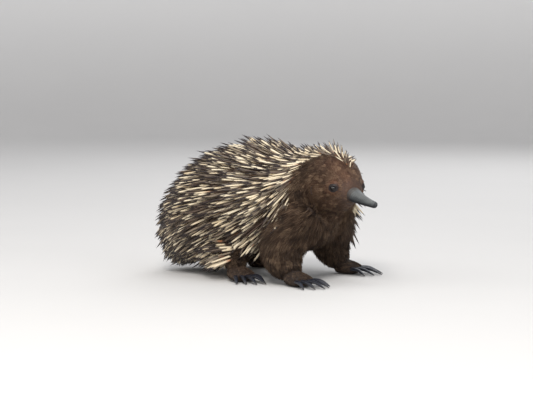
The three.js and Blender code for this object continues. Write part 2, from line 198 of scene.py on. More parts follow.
@dataclass
class Shape:
    """A mesh in the making, with the values that each of its points carries."""

    points: Array
    faces: list[Array]
    values: dict[str, Array] = field(default_factory=dict)
    places: Array | None = None

    @staticmethod
    def joined(shapes: list["Shape"]) -> "Shape":
        """Several shapes as one.

        Args:
            shapes: The shapes, which all carry the same values.

        Returns:
            The joined shape.
        """
        starts = np.cumsum([0] + [len(s.points) for s in shapes[:-1]])
        faces = [block + start for s, start in zip(shapes, starts) for block in s.faces]
        values = {name: np.concatenate([s.values[name] for s in shapes]) for name in shapes[0].values}
        places = None if shapes[0].places is None else np.concatenate([s.places for s in shapes])
        return Shape(np.concatenate([s.points for s in shapes]), faces, values, places)

    def turned_out(self) -> "Shape":
        """The shape with its faces turned outwards.

        Returns:
            The shape itself.
        """
        volume = 0.0
        for block in self.faces:
            for k in range(1, block.shape[1] - 1):
                a, b, c = (self.points[block[:, i]] for i in (0, k, k + 1))
                volume += dot(a, np.cross(b, c)).sum()
        if volume < 0:
            self.faces = [block[:, ::-1] for block in self.faces]
        return self

    def mesh(self, name: str) -> bpy.types.Mesh:
        """A Blender mesh of the shape.

        Args:
            name: The mesh's name.

        Returns:
            The mesh, smooth shaded.
        """
        corners = np.concatenate([block.ravel() for block in self.faces])
        sizes = np.concatenate([np.full(len(block), block.shape[1]) for block in self.faces])
        mesh = bpy.data.meshes.new(name)
        mesh.vertices.add(len(self.points))
        mesh.vertices.foreach_set("co", self.points.astype(np.float32).ravel())
        mesh.loops.add(len(corners))
        mesh.loops.foreach_set("vertex_index", corners.astype(np.int32))
        mesh.polygons.add(len(sizes))
        starts = np.concatenate([[0], np.cumsum(sizes)[:-1]])
        mesh.polygons.foreach_set("loop_start", starts.astype(np.int32))
        for key, value in self.values.items():
            layer = mesh.attributes.new(key, "FLOAT", "POINT")
            layer.data.foreach_set("value", value.astype(np.float32))
        if self.places is not None:
            layer = mesh.uv_layers.new(name=BAKE_MAP)
            layer.data.foreach_set("uv", self.places[corners].astype(np.float32).ravel())
        mesh.update(calc_edges=True)
        mesh.shade_smooth()
        return mesh

    def dressed(self, name: str, finish: "Finish", slot: str, nodes: list[str] = ()) -> bpy.types.Object:
        """The shape as a piece of the animal.

        Args:
            name: The piece's name.
            finish: What its surface is like.
            slot: The record's material slot. It is not used.
            nodes: The solids that it stands for.

        Returns:
            The piece, which rides on the body.
        """
        piece = bpy.data.objects.new(name, self.mesh(name))
        bpy.context.scene.collection.objects.link(piece)
        piece.data.materials.append(finish.material())
        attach(piece, BODY)
        if nodes:
            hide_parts(*nodes)
        triangles = sum(len(block) * (block.shape[1] - 2) for block in self.faces)
        log.info("%s: %d triangles", name, triangles)
        return piece


def lofted(rings: Array, closed_ends: bool = True) -> Shape:
    """A closed surface through rings of points.

    Args:
        rings: The rings, each with the same number of points.
        closed_ends: Whether a fan closes each end.

    Returns:
        The shape. Its points are the rings' in order, then the middles of the ends.
    """
    count, sides, _ = rings.shape
    first = np.arange(count - 1)[:, None] * sides + np.arange(sides)
    second = np.arange(count - 1)[:, None] * sides + (np.arange(sides) + 1) % sides
    quads = np.stack([first, second, second + sides, first + sides], axis=-1).reshape(-1, 4)
    points = rings.reshape(-1, 3)
    faces = [quads]
    if closed_ends:
        points = np.vstack([points, rings[0].mean(axis=0), rings[-1].mean(axis=0)])
        here, following = np.arange(sides), (np.arange(sides) + 1) % sides
        last = (count - 1) * sides
        start = np.stack([following, here, np.full(sides, count * sides)], axis=-1)
        end = np.stack([here + last, following + last, np.full(sides, count * sides + 1)], axis=-1)
        faces.append(np.vstack([start, end]))
    return Shape(points, faces)


def wrapped(rings: Array) -> Shape:
    """A closed surface shaped like a ring, such as a rim.

    Args:
        rings: Rings of points, the last joined to the first.

    Returns:
        The shape.
    """
    count, sides, _ = rings.shape
    index = np.arange(count * sides).reshape(count, sides)
    along, beside = np.roll(index, -1, axis=0), np.roll(index, -1, axis=1)
    both = np.roll(along, -1, axis=1)
    return Shape(rings.reshape(-1, 3), [np.stack([index, beside, both, along], axis=-1).reshape(-1, 4)])


@dataclass(frozen=True)
class Patch:
    """The patch of the bake's map that each spine or lock takes: along it and across it."""

    long: float
    wide: float


def tapered(lines: Array, across: Array, widths: Array, depths: Array, sides: int, shares: Array,
            each: dict[str, Array], places: Array, patch: Patch) -> Shape:
    """Closed tapered rods, such as spines or locks.

    Args:
        lines: The points of each rod's middle line, the last of them its tip.
        across: Each rod's sideways direction.
        widths: Half of each rod's width at its points but the tip.
        depths: Half of each rod's thickness at its points but the tip.
        sides: How many sides a rod has.
        shares: How far along the rod its points are.
        each: Values for each rod.
        places: Each root's place on the unwrapped skin.
        patch: The size of a rod's patch there.

    Returns:
        All rods as one shape. Its points carry the rods' values, and how far along the rod they are.
    """
    count, stops, _ = lines.shape
    over = np.cross(unit(lines[:, -1] - lines[:, 0]), across)
    turns = circle(sides, 0.5)
    rings = (lines[:, :-1, None]
             + np.cos(turns)[:, None] * (across[:, None] * widths[..., None])[:, :, None]
             + np.sin(turns)[:, None] * (over[:, None] * depths[..., None])[:, :, None])
    points = np.concatenate([rings.reshape(count, -1, 3), lines[:, -1:]], axis=1)
    each_has = points.shape[1]
    tip = each_has - 1
    here, following = np.arange(sides), (np.arange(sides) + 1) % sides
    quads = np.concatenate([
        np.stack([here, following, following + sides, here + sides], axis=-1) + ring * sides
        for ring in range(stops - 2)])
    last = (stops - 2) * sides
    ends = np.stack([here + last, following + last, np.full(sides, tip)], axis=-1)
    starts = np.arange(count)[:, None, None] * each_has
    faces = [(quads + starts).reshape(-1, 4), (ends + starts).reshape(-1, 3),
             (here[::-1] + starts[:, 0]).reshape(-1, sides)]
    along = np.append(np.repeat(shares[:-1], sides), shares[-1])
    values = {name: np.repeat(value, each_has) for name, value in each.items()}
    values["along"] = np.tile(along, count)
    zigzag = np.append(np.tile(np.arange(sides) % 2, stops - 1), 0.5)
    sideways = np.append(np.tile(np.arange(sides) / (sides - 1), stops - 1), 0.5)
    spread = along - along.min()
    upwards = (1 - PATCH_SLANT) * spread / spread.max() + PATCH_SLANT * zigzag
    shift = np.stack([patch.long * upwards, patch.wide * sideways], axis=-1)
    low, high = places.min(axis=0), places.max(axis=0)
    room = 1 - np.array([patch.long, patch.wide]) * PATCH_ROOM
    rooted = (places - low) / np.maximum(high - low, 1e-9) * room
    return Shape(points.reshape(-1, 3), faces, values, (rooted[:, None] + shift).reshape(-1, 2))


# Finishes


class Tree:
    """A material's node tree in the making."""

    def __init__(self, name: str) -> None:
        """Starts an empty tree for a new material.

        Args:
            name: The material's name.
        """
        self.material = bpy.data.materials.new(name)
        self.material.use_nodes = True
        self.tree = self.material.node_tree
        self.tree.nodes.clear()

    def node(self, kind: str, inputs: dict[str | int, object], **settings: object) -> bpy.types.Node:
        """Adds a node.

        Args:
            kind: The node's type.
            inputs: What goes into its sockets: another node's socket, or a value.
            settings: Its own settings.

        Returns:
            The node.
        """
        made = self.tree.nodes.new(kind)
        for key, value in settings.items():
            setattr(made, key, value)
        for key, value in inputs.items():
            if isinstance(value, Socket):
                self.tree.links.new(value, made.inputs[key])
            else:
                made.inputs[key].default_value = value
        return made

    def value(self, name: str) -> Socket:
        """A value that the mesh's points carry."""
        return self.node("ShaderNodeAttribute", {}, attribute_name=name).outputs["Fac"]

    def math(self, kind: str, *terms: object) -> Socket:
        """A sum, product or the like of one to three terms."""
        return self.node("ShaderNodeMath", dict(enumerate(terms)), operation=kind).outputs[0]

    def ramp(self, value: object, low: float, high: float, start: float = 0.0, end: float = 1.0) -> Socket:
        """A smooth step of a value between two limits."""
        inputs = {"Value": value, "From Min": low, "From Max": high, "To Min": start, "To Max": end}
        return self.node("ShaderNodeMapRange", inputs, interpolation_type="SMOOTHSTEP").outputs["Result"]

    def mix(self, share: object, first: object, second: object, kind: str = "MIX") -> Socket:
        """One colour mixed with another.

        Args:
            share: How much of the second.
            first: The first colour.
            second: The second colour.
            kind: How they mix.

        Returns:
            The mixed colour.
        """
        made = self.node("ShaderNodeMix", {}, data_type="RGBA", blend_type=kind)
        for socket, value in ((made.inputs[0], share), (made.inputs[6], first), (made.inputs[7], second)):
            if isinstance(value, Socket):
                self.tree.links.new(value, socket)
            else:
                socket.default_value = (*value, 1.0) if isinstance(value, tuple) else value
        return made.outputs[2]

    def place(self) -> Socket:
        """The place on the object."""
        return self.node("ShaderNodeTexCoord", {}).outputs["Object"]

    def noise(self, scale: float, detail: float = 3.0, rough: float = 0.55) -> Socket:
        """Soft random spots, so many to the metre."""
        inputs = {"Vector": self.place(), "Scale": scale, "Detail": detail, "Roughness": rough}
        return self.node("ShaderNodeTexNoise", inputs).outputs["Fac"]

    def cells(self, scale: float) -> Socket:
        """How far a place is from the edge of its cell, with so many cells to the metre."""
        inputs = {"Vector": self.place(), "Scale": scale}
        return self.node("ShaderNodeTexVoronoi", inputs, feature="DISTANCE_TO_EDGE").outputs["Distance"]

    def bump(self, height: object, relief: Pair, normal: Socket | None = None) -> Socket:
        """Relief from a height.

        Args:
            height: How high the surface stands, from 0 to 1.
            relief: The relief's strength, and its depth in metres.
            normal: A coarser relief that it is laid over.

        Returns:
            The surface's direction.
        """
        strength, depth = relief
        inputs = {"Height": height, "Strength": strength, "Distance": depth}
        if normal is not None:
            inputs["Normal"] = normal
        return self.node("ShaderNodeBump", inputs).outputs["Normal"]

    def finished(self, colour: Socket, rough: object, relief: Socket | None = None,
                 specular: float = 0.5) -> Material:
        """Closes the tree with its shader.

        Args:
            colour: The surface's colour.
            rough: How rough it is.
            relief: Its direction, where it has relief.
            specular: How strongly it mirrors light.

        Returns:
            The material.
        """
        inputs = {"Base Color": colour, "Roughness": rough, "Specular IOR Level": specular}
        shader = self.node("ShaderNodeBsdfPrincipled", inputs | ({"Normal": relief} if relief else {}))
        self.node("ShaderNodeOutputMaterial", {"Surface": shader.outputs["BSDF"]})
        return self.material


@dataclass(frozen=True)
class Finish:
    """What a surface is like. Each kind makes its material once."""

    name: str

    def material(self) -> Material:
        """The finish's material, which pieces share."""
        return bpy.data.materials.get(self.name) or self.made()

    def made(self) -> Material:
        """Makes the material."""
        raise NotImplementedError


@dataclass(frozen=True)
class CoatFinish(Finish):
    """Fur, or the skin under it, in the browns of the coat. Its points carry warm and shade."""

    deep: Triple = (0.018, 0.010, 0.007)
    brown: Triple = (0.098, 0.060, 0.036)
    pale: Triple = (0.300, 0.200, 0.125)
    rufous: Triple = (0.170, 0.066, 0.034)
    rufous_share: float = 0.75
    darkest: float = 0.48
    patches: float = 38.0

    def coat_colour(self, tree: Tree, tone: object) -> Socket:
        """The coat's brown at a place.

        Args:
            tree: The material in the making.
            tone: How light the hair is, from 0 to 1.

        Returns:
            The colour.
        """
        patchy = tree.noise(self.patches)
        low = tree.mix(tree.ramp(tone, 0.0, 0.5), self.deep, self.brown)
        colour = tree.mix(tree.ramp(tone, 0.5, 1.0), low, self.pale)
        warmth = tree.math("MULTIPLY", tree.value("warm"), tree.ramp(patchy, 0.3, 0.7, 0.55, 1.0))
        colour = tree.mix(tree.math("MULTIPLY", warmth, self.rufous_share), colour, self.rufous)
        dark = tree.ramp(tree.value("shade"), 0.0, 1.0, 1.0, self.darkest)
        dark = tree.math("MULTIPLY", dark, tree.ramp(patchy, 0.25, 0.75, 0.82, 1.12))
        grey = tree.node("ShaderNodeCombineColor", {0: dark, 1: dark, 2: dark}).outputs[0]
        return tree.mix(1.0, colour, grey, "MULTIPLY")


@dataclass(frozen=True)
class FurFinish(CoatFinish):
    """Locks of coarse hair, darker at their roots, each of its own brown."""

    name: str = "coarse_brown_hair"
    strands: float = 900.0
    own_tone: float = 0.95
    tip_tone: float = 0.30
    relief: Pair = (0.25, 0.0003)
    specular: float = 0.3

    def made(self) -> Material:
        """Makes the material.

        Returns:
            The material.
        """
        tree = Tree(self.name)
        strands = tree.noise(self.strands, 2.0, 0.5)
        tone = tree.math("ADD", tree.math("MULTIPLY", tree.value("tint"), self.own_tone),
                         tree.math("MULTIPLY", tree.value("along"), self.tip_tone))
        tone = tree.math("ADD", tone, tree.ramp(strands, 0.3, 0.7, -0.20, -0.04))
        rough = tree.ramp(strands, 0.2, 0.8, 0.52, 0.78)
        colour = self.coat_colour(tree, tone)
        return tree.finished(colour, rough, tree.bump(strands, self.relief), self.specular)


@dataclass(frozen=True)
class SkinFinish(CoatFinish):
    """The skin under the coat, and the bare leathery soles with painted shade in their creases."""

    name: str = "hairy_hide"
    leather: Triple = (0.085, 0.072, 0.066)
    # The colour of the painted shade in the soles' creases.
    crease: Triple = (0.035, 0.03, 0.028)
    hairs: float = 420.0
    creases: float = 620.0
    hair_relief: Pair = (0.5, 0.0008)
    crease_relief: Pair = (0.35, 0.0004)

    def made(self) -> Material:
        """Makes the material.

        Returns:
            The material.
        """
        tree = Tree(self.name)
        hairs = tree.noise(self.hairs, 4.0, 0.65)
        colour = self.coat_colour(tree, tree.ramp(hairs, 0.3, 0.75, 0.02, 0.36))
        creases = tree.cells(self.creases)
        # Painted shade: the soles' leather darkens along the edges of its cells, which are its creases.
        leather = tree.mix(tree.ramp(creases, 0.0, 0.12), self.crease, self.leather)
        colour = tree.mix(tree.value("sole"), colour, leather)
        relief = tree.bump(creases, self.crease_relief, tree.bump(hairs, self.hair_relief))
        rough = tree.ramp(hairs, 0.2, 0.8, 0.62, 0.85)
        return tree.finished(colour, rough, relief)


@dataclass(frozen=True)
class SpineFinish(Finish):
    """Smooth horn: a dark root, a cream shaft and a black tip, with a rusty stain on some."""

    name: str = "banded_spine"
    cream: Triple = (0.80, 0.70, 0.52)
    straw: Triple = (0.60, 0.45, 0.26)
    root: Triple = (0.062, 0.036, 0.026)
    tip: Triple = (0.024, 0.015, 0.014)
    rust: Triple = (0.36, 0.120, 0.035)
    rust_reach: float = 0.22
    grain: float = 300.0
    relief: Pair = (0.12, 0.0003)
    specular: float = 0.38

    def made(self) -> Material:
        """Makes the material.

        Returns:
            The material.
        """
        tree = Tree(self.name)
        along = tree.value("along")
        grain = tree.noise(self.grain, 3.0, 0.6)
        shaft = tree.mix(tree.math("MULTIPLY", tree.value("tint"), tree.ramp(grain, 0.25, 0.75, 0.35, 1.0)),
                         self.cream, self.straw)
        shaft = tree.mix(tree.value("dark"), shaft, self.root)
        edge = tree.math("ADD", along, tree.ramp(grain, 0.0, 1.0, -0.03, 0.03))
        rising = tree.math("SUBTRACT", edge, tree.value("root_end"))
        rust = tree.math("MULTIPLY", tree.value("rust"), tree.ramp(rising, self.rust_reach, 0.0))
        colour = tree.mix(rust, shaft, self.rust)
        colour = tree.mix(tree.ramp(rising, 0.05, -0.04), colour, self.root)
        ending = tree.math("SUBTRACT", edge, tree.value("tip_start"))
        colour = tree.mix(tree.ramp(ending, -0.035, 0.045), colour, self.tip)
        rough = tree.ramp(grain, 0.2, 0.8, 0.30, 0.46)
        return tree.finished(colour, rough, tree.bump(grain, self.relief), self.specular)


@dataclass(frozen=True)
class BeakFinish(Finish):
    """Bare slate grey skin, blotched with black, with fine cross wrinkles, painted highlights and shade."""

    name: str = "slate_beak_hide"
    slate: Triple = (0.060, 0.066, 0.067)
    # pale: the colour of the painted highlight on the wrinkles' ridges, and of the paler mottling.
    pale: Triple = (0.176, 0.186, 0.180)
    # black: the black blotches and specks, and the colour of the painted shade beneath and in the hollows.
    black: Triple = (0.012, 0.013, 0.017)
    furred: Triple = (0.050, 0.036, 0.028)
    blotches: float = 95.0
    grain: float = 850.0
    scales: float = 900.0
    scale_relief: Pair = (0.28, 0.00025)
    grain_relief: Pair = (0.3, 0.0003)
    specular: float = 0.35

    def made(self) -> Material:
        """Makes the material.

        Returns:
            The material.
        """
        tree = Tree(self.name)
        cloud = tree.noise(self.blotches, 4.0, 0.6)
        grain = tree.noise(self.grain, 3.0, 0.6)
        # Painted highlight: the wrinkles' ridges are paler, most on the top. Painted shade: the underside is
        # darker. Noise adds mottling.
        ridge = tree.math("SUBTRACT", tree.value("ridge"), tree.math("MULTIPLY", tree.value("under"), 0.5))
        light = tree.math("ADD", ridge, tree.ramp(cloud, 0.3, 0.7, -0.2, 0.3))
        colour = tree.mix(tree.ramp(light, 0.1, 0.9), self.slate, self.pale)
        colour = tree.mix(tree.ramp(grain, 0.35, 0.7, 0.35, 0.0), colour, self.black)
        # Painted shade: the underside darkens towards black, with a blotchy edge.
        under = tree.math("ADD", tree.value("under"), tree.ramp(cloud, 0.25, 0.75, -0.42, 0.42))
        colour = tree.mix(tree.ramp(under, 0.25, 0.80, 0.0, 0.9), colour, self.black)
        # Painted shade in the nostrils, along the mouth's line and in the wrinkles' valleys, and the tip's
        # own dark colour.
        colour = tree.mix(tree.value("crease"), colour, self.black)
        rooted = tree.math("ADD", tree.value("rooted"), tree.ramp(cloud, 0.25, 0.75, -0.35, 0.35))
        colour = tree.mix(tree.ramp(rooted, 0.25, 0.9, 0.0, 0.9), colour, self.furred)
        scales = tree.ramp(tree.cells(self.scales), 0.0, 0.2)
        relief = tree.bump(scales, self.scale_relief, tree.bump(grain, self.grain_relief))
        rough = tree.ramp(cloud, 0.2, 0.8, 0.42, 0.62)
        return tree.finished(colour, rough, relief, self.specular)


@dataclass(frozen=True)
class HornFinish(Finish):
    """Black horn with a painted blue sheen in streaks along each claw, and worn paler at its tip."""

    name: str = "black_horn"
    black: Triple = (0.010, 0.011, 0.016)
    # blue: the colour of the painted sheen on the streaks and the ridges' crests.
    blue: Triple = (0.015, 0.018, 0.030)
    worn: Triple = (0.080, 0.070, 0.062)
    worn_from: float = 0.80
    clouds: float = 260.0
    relief: Pair = (0.25, 0.0004)
    specular: float = 0.4

    def made(self) -> Material:
        """Makes the material.

        Returns:
            The material.
        """
        tree = Tree(self.name)
        cloud = tree.noise(self.clouds, 3.0, 0.6)
        # Painted blue sheen in streaks round the claw, bluest on the ridges' crests, broken up by noise.
        streaks = tree.math("ADD", tree.value("streak"), tree.ramp(cloud, 0.3, 0.7, -0.25, 0.25))
        colour = tree.mix(tree.ramp(streaks, 0.35, 1.0), self.black, self.blue)
        worn = tree.ramp(tree.value("along"), self.worn_from, 1.0)
        colour = tree.mix(tree.math("MULTIPLY", worn, tree.ramp(cloud, 0.35, 0.65)), colour, self.worn)
        rough = tree.ramp(cloud, 0.25, 0.75, 0.24, 0.42)
        return tree.finished(colour, rough, tree.bump(cloud, self.relief), self.specular)


@dataclass(frozen=True)
class EyeFinish(Finish):
    """A wet, nearly black eye with a faint brown iris."""

    name: str = "wet_black_eye"
    black: Triple = (0.004, 0.0035, 0.003)
    iris: Triple = (0.018, 0.010, 0.006)
    threads: float = 1400.0
    specular: float = 0.5

    def made(self) -> Material:
        """Makes the material.

        Returns:
            The material.
        """
        tree = Tree(self.name)
        threads = tree.noise(self.threads, 3.0, 0.6)
        iris = tree.math("MULTIPLY", tree.value("iris"), tree.ramp(threads, 0.3, 0.7, 0.4, 1.0))
        colour = tree.mix(iris, self.black, self.iris)
        return tree.finished(colour, tree.ramp(threads, 0.0, 1.0, 0.05, 0.09), specular=self.specular)


@dataclass(frozen=True)
class LidFinish(CoatFinish):
    """The bare, wrinkled skin of the eyelids and ears: black at the margin, then a ring, then the coat."""

    name: str = "bare_lid_hide"
    # margin: the black of the lids' margin, and also the colour of the painted shade in grooves, wrinkles
    # and the ears' cups.
    margin: Triple = (0.008, 0.007, 0.008)
    ring: Triple = (0.030, 0.022, 0.021)
    grain: float = 1100.0
    relief: Pair = (0.4, 0.0003)
    specular: float = 0.25

    def made(self) -> Material:
        """Makes the material.

        Returns:
            The material.
        """
        tree = Tree(self.name)
        grain = tree.noise(self.grain, 3.0, 0.6)
        fur = self.coat_colour(tree, tree.ramp(grain, 0.3, 0.7, 0.15, 0.45))
        colour = tree.mix(tree.ramp(tree.value("bare"), 0.1, 0.6), fur, self.ring)
        colour = tree.mix(tree.ramp(grain, 0.4, 0.7, 0.3, 0.0), colour, self.margin)
        # Darkened towards black: the lids' black margin, and painted shade in their grooves and wrinkles and
        # in the ears' cups and folds.
        colour = tree.mix(tree.value("crease"), colour, self.margin)
        rough = tree.ramp(grain, 0.2, 0.8, 0.38, 0.6)
        return tree.finished(colour, rough, tree.bump(grain, self.relief), self.specular)


@dataclass(frozen=True)
class FloorFinish(Finish):
    """Pale studio paper, paler up its wall."""

    name: str = "studio_paper"
    pale: Triple = (0.60, 0.59, 0.575)
    wall: Triple = (0.92, 0.91, 0.89)
    fleck_shade: float = 0.985
    flecks: float = 2.0
    wall_from: float = 0.9
    roughness: float = 0.9

    def made(self) -> Material:
        """Makes the material.

        Returns:
            The material.
        """
        tree = Tree(self.name)
        darker = tuple(c * self.fleck_shade for c in self.pale)
        colour = tree.mix(tree.ramp(tree.noise(self.flecks), 0.3, 0.7), self.pale, darker)
        height = tree.node("ShaderNodeSeparateXYZ", {0: tree.place()}).outputs["Z"]
        colour = tree.mix(tree.ramp(height, 0.0, self.wall_from), colour, self.wall)
        return tree.finished(colour, self.roughness)


# The forms that the skin is drawn over


@dataclass(frozen=True)
class Station:
    """A ring of the trunk, out to the tips of its fur, and what grows there.

    The reach is to each side, up and down. The turn is the axis's pitch and heading in degrees. The spines
    have how far round from the back they grow, in degrees, their length, and their lift in degrees.
    """

    name: str
    at: Triple
    reach: Triple
    turn: Pair
    spines: Triple
    fur: float


STATIONS = tuple(Station(*row) for row in (
    ("tail_tip", (-0.184, 0, 0.027), (0.014, 0.013, 0.010), (36, 0), (165, 0.028, 22), 0.012),
    ("tail_middle", (-0.176, 0, 0.036), (0.036, 0.032, 0.018), (35, 0), (156, 0.037, 20), 0.013),
    ("tail_root", (-0.160, 0, 0.054), (0.060, 0.056, 0.034), (31, 0), (152, 0.047, 18), 0.014),
    ("rump", (-0.131, 0, 0.077), (0.080, 0.074, 0.054), (22, 0), (149, 0.055, 17), 0.015),
    ("hips", (-0.090, 0, 0.098), (0.092, 0.083, 0.069), (13, 0), (152, 0.060, 17), 0.015),
    ("back", (-0.038, 0, 0.113), (0.095, 0.083, 0.080), (6, 0), (149, 0.061, 18), 0.015),
    ("chest", (0.014, 0, 0.120), (0.089, 0.077, 0.082), (4, 0), (134, 0.058, 20), 0.019),
    ("shoulders", (0.054, 0, 0.125), (0.077, 0.068, 0.073), (10, -4), (112, 0.050, 23), 0.024),
    ("neck_root", (0.078, -0.002, 0.134), (0.064, 0.060, 0.065), (13, -11), (88, 0.042, 31), 0.023),
    ("neck_front", (0.093, -0.005, 0.142), (0.054, 0.054, 0.056), (8, -18), (30, 0.034, 42), 0.016),
    ("head_back", (0.107, -0.010, 0.147), (0.047, 0.051, 0.048), (1, -22), (15, 0.028, 50), 0.0098),
    ("head_middle", (0.1215, -0.0162, 0.1465), (0.040, 0.047, 0.043), (-9, -24), (9, 0.022, 56), 0.0070),
    ("brow", (0.135, -0.0223, 0.1435), (0.0315, 0.039, 0.034), (-14, -25), (4, 0.016, 60), 0.0048),
    ("muzzle", (0.1455, -0.0272, 0.1405), (0.023, 0.0265, 0.023), (-16, -25), (0, 0.012, 38), 0.0030),
    ("face_front", (0.1532, -0.0308, 0.138), (0.015, 0.015, 0.015), (-16, -25), (0, 0.010, 38), 0.0018),
))


@dataclass(frozen=True)
class Trunk:
    """The tail, torso, neck and head as one bent form.

    A place along it runs from 0 at the tail's tip to 1 at the face.
    """

    shift: Triple = (0.0, 0.0, 0.0)
    stations: tuple[Station, ...] = STATIONS
    coat_share: float = 0.24
    rear_droop: float = 17.0
    front_droop: float = 50.0
    flank_lift: float = 14.0
    droop_power: float = 1.2
    step: float = 0.004

    def along(self, name: str, share: float = 0.0) -> float:
        """The place of a named station, or part of the way to the next."""
        return ([s.name for s in self.stations].index(name) + share) / (len(self.stations) - 1)

    def curve(self, pick: str, t: Array) -> Array:
        """One of the stations' values, carried smoothly along the trunk."""
        rows = np.array([np.atleast_1d(getattr(s, pick)) for s in self.stations], float)
        return smooth(rows, np.asarray(t, float))

    def centre(self, t: Array) -> Array:
        """The middle of the ring at a place."""
        return self.curve("at", t) + np.array(self.shift)

    def axes(self, t: Array) -> Three:
        """The forward, left and up directions at places along the trunk."""
        turn = self.curve("turn", t)
        return framed(heading(turn[..., 1], turn[..., 0]))

    def point(self, t: Array, angle: Array) -> Array:
        """Points of the surface.

        Args:
            t: Places along the trunk.
            angle: How far round from the back. A quarter turn is the left flank.

        Returns:
            The points.
        """
        _, left, up = self.axes(t)
        reach = self.curve("reach", t)
        out = np.sin(angle) * reach[..., 0]
        rise = np.cos(angle) * np.where(np.cos(angle) > 0, reach[..., 1], reach[..., 2])
        return self.centre(t) + left * out[..., None] + up * rise[..., None]

    def surface(self, t: Array, angle: Array) -> tuple[Array, Array, Array, Array]:
        """A point of the surface and its directions.

        Args:
            t: Places along the trunk.
            angle: How far round from the back.

        Returns:
            The points, the normals, and the tangents towards the tail and down the flank.
        """
        t, angle = np.broadcast_arrays(np.asarray(t, float), np.asarray(angle, float))
        point = self.point(t, angle)
        behind = self.point(np.maximum(t - self.step, 0), angle)
        tailward = unit(behind - self.point(np.minimum(t + self.step, 1), angle))
        leftward = unit(self.point(t, angle + self.step) - self.point(t, angle - self.step))
        normal = unit(np.cross(tailward, leftward))
        outward = np.where(dot(normal, point - self.centre(t)) < 0, -1.0, 1.0)
        sign = np.where(angle < 0, -1.0, 1.0)
        return point, normal * outward[..., None], tailward, leftward * sign[..., None]

    def spiny(self, t: Array) -> Three:
        """How far round the spines grow in radians, their length, and their lift in radians."""
        grown = self.curve("spines", t)
        return np.radians(grown[..., 0]), grown[..., 1], np.radians(grown[..., 2])

    def droop(self, t: Array) -> Array:
        """How far down the lowest spines point from straight back, in radians."""
        forward = eased(self.along("hips"), self.along("neck_root"), t) ** self.droop_power
        return np.radians(self.rear_droop + (self.front_droop - self.rear_droop) * forward)

    def angle_of(self, points: Array, t: Array) -> Array:
        """How far round from the back points near the surface lie, at their places along the trunk."""
        (_, left, up), outward = self.axes(t), points - self.centre(t)
        return np.arctan2(dot(outward, left), dot(outward, up))

    def coat_depth(self, t: Array) -> Array:
        """How far the skin lies inside the tips of the fur."""
        return self.curve("fur", t)[..., 0] * self.coat_share


@dataclass(frozen=True)
class Limb:
    """A bent, tapered form: rings round a smooth line, each with its own reach to the side and up."""

    at: Array
    reach: Array
    reference: Array
    step: float = 1e-3

    def line(self, t: Array) -> Array:
        """The middle line's points."""
        return smooth(self.at, t)

    def axes(self, t: Array) -> Three:
        """The forward, sideways and upward directions at places along the line."""
        before, after = self.line(np.maximum(t - self.step, 0)), self.line(np.minimum(t + self.step, 1))
        return framed(unit(after - before), self.reference)

    def rings(self, count: int, sides: int, drawn_in: Array | float = 0.0) -> Array:
        """The surface as rings of points.

        Args:
            count: How many rings.
            sides: How many points in each.
            drawn_in: How far inside the surface they lie.

        Returns:
            An array of rings.
        """
        t = np.linspace(0, 1, count)
        _, side, up = self.axes(t)
        size = smooth(self.reach, t) - np.reshape(drawn_in, (-1, 1))
        angle = circle(sides)
        return rings_round(self.line(t), side, up, np.cos(angle) * size[:, :1], np.sin(angle) * size[:, 1:])

    def angle_of(self, points: Array, t: Array) -> Array:
        """How far round the line points near the surface lie, at their places along it."""
        (_, side, up), outward = self.axes(t), points - self.line(t)
        return np.arctan2(dot(outward, up), dot(outward, side))


@dataclass(frozen=True)
class Toe:
    """Where a claw grows, the way it heads in degrees, and its length."""

    root: Array
    turn: float
    length: float


@dataclass(frozen=True)
class Leg:
    """A leg with its foot.

    Each joint has its place, and the reach to the side and up. Each claw has its turn outwards from the
    foot's own in degrees, how far out it grows, and its length. The pad's rings have their place along the
    sole, their height, and the reach to the side and up.
    """

    name: str
    joints: tuple[Row, ...]
    sole: Pair
    turn: float
    claws: tuple[Triple, ...]
    shift: Triple
    sole_length: float = 0.042
    toe_rise: float = 0.0085
    toe_share: float = 0.42
    toe_curve: float = 0.35
    pad: tuple[Row, ...] = (
        (-0.46, 0.012, 0.011, 0.009), (-0.30, 0.012, 0.017, 0.012), (0.0, 0.011, 0.021, 0.012),
        (0.30, 0.009, 0.021, 0.010), (0.46, 0.008, 0.017, 0.007))

    @property
    def outwards(self) -> int:
        """The sign of outwards along +Y."""
        return 1 if self.name.endswith("left") else -1

    def number(self, is_foot: bool) -> int:
        """What marks the skin of the leg, or of its foot."""
        return Part[self.name.upper()].value + Part.PAD.value * is_foot

    def limb(self) -> Limb:
        """The leg from inside the trunk to above the sole."""
        rows = np.array(self.joints)
        return Limb(rows[:, :3] + np.array(self.shift), rows[:, 3:], AHEAD)

    def foot_point(self, ahead: float, across: float, rise: float) -> Array:
        """A point of the foot.

        Args:
            ahead: How far ahead of the sole's middle it is.
            across: How far to its left.
            rise: How high above the floor.

        Returns:
            The point.
        """
        forward = heading(self.turn)
        middle = np.array([*self.sole, 0.0]) + np.array(self.shift)
        flat = middle + forward * ahead + np.cross(UP, forward) * across
        return np.array([flat[0], flat[1], rise])

    def foot(self) -> Limb:
        """The foot's pad from its heel to its toes."""
        at = [self.foot_point(share * self.sole_length, 0, rise) for share, rise, _, _ in self.pad]
        return Limb(np.array(at), np.array([[side, up] for _, _, side, up in self.pad]), UP)

    def toes(self) -> list[Toe]:
        """The toes.

        Returns:
            The toes from the inner to the outer one.
        """
        made = []
        for turn, across, length in self.claws:
            ahead = self.sole_length * self.toe_share - abs(across) * self.toe_curve
            root = self.foot_point(ahead, across * self.outwards, self.toe_rise)
            made.append(Toe(root, self.turn + turn * self.outwards, length))
        return made


FRONT_CLAWS = ((-20, -0.016, 0.025), (-9, -0.0085, 0.032), (0, 0.0, 0.035), (9, 0.0085, 0.033),
               (21, 0.016, 0.026))
HIND_CLAWS = ((-16, -0.014, 0.020), (-8, -0.007, 0.038), (2, 0.0005, 0.033), (12, 0.0075, 0.027),
              (24, 0.0145, 0.022))


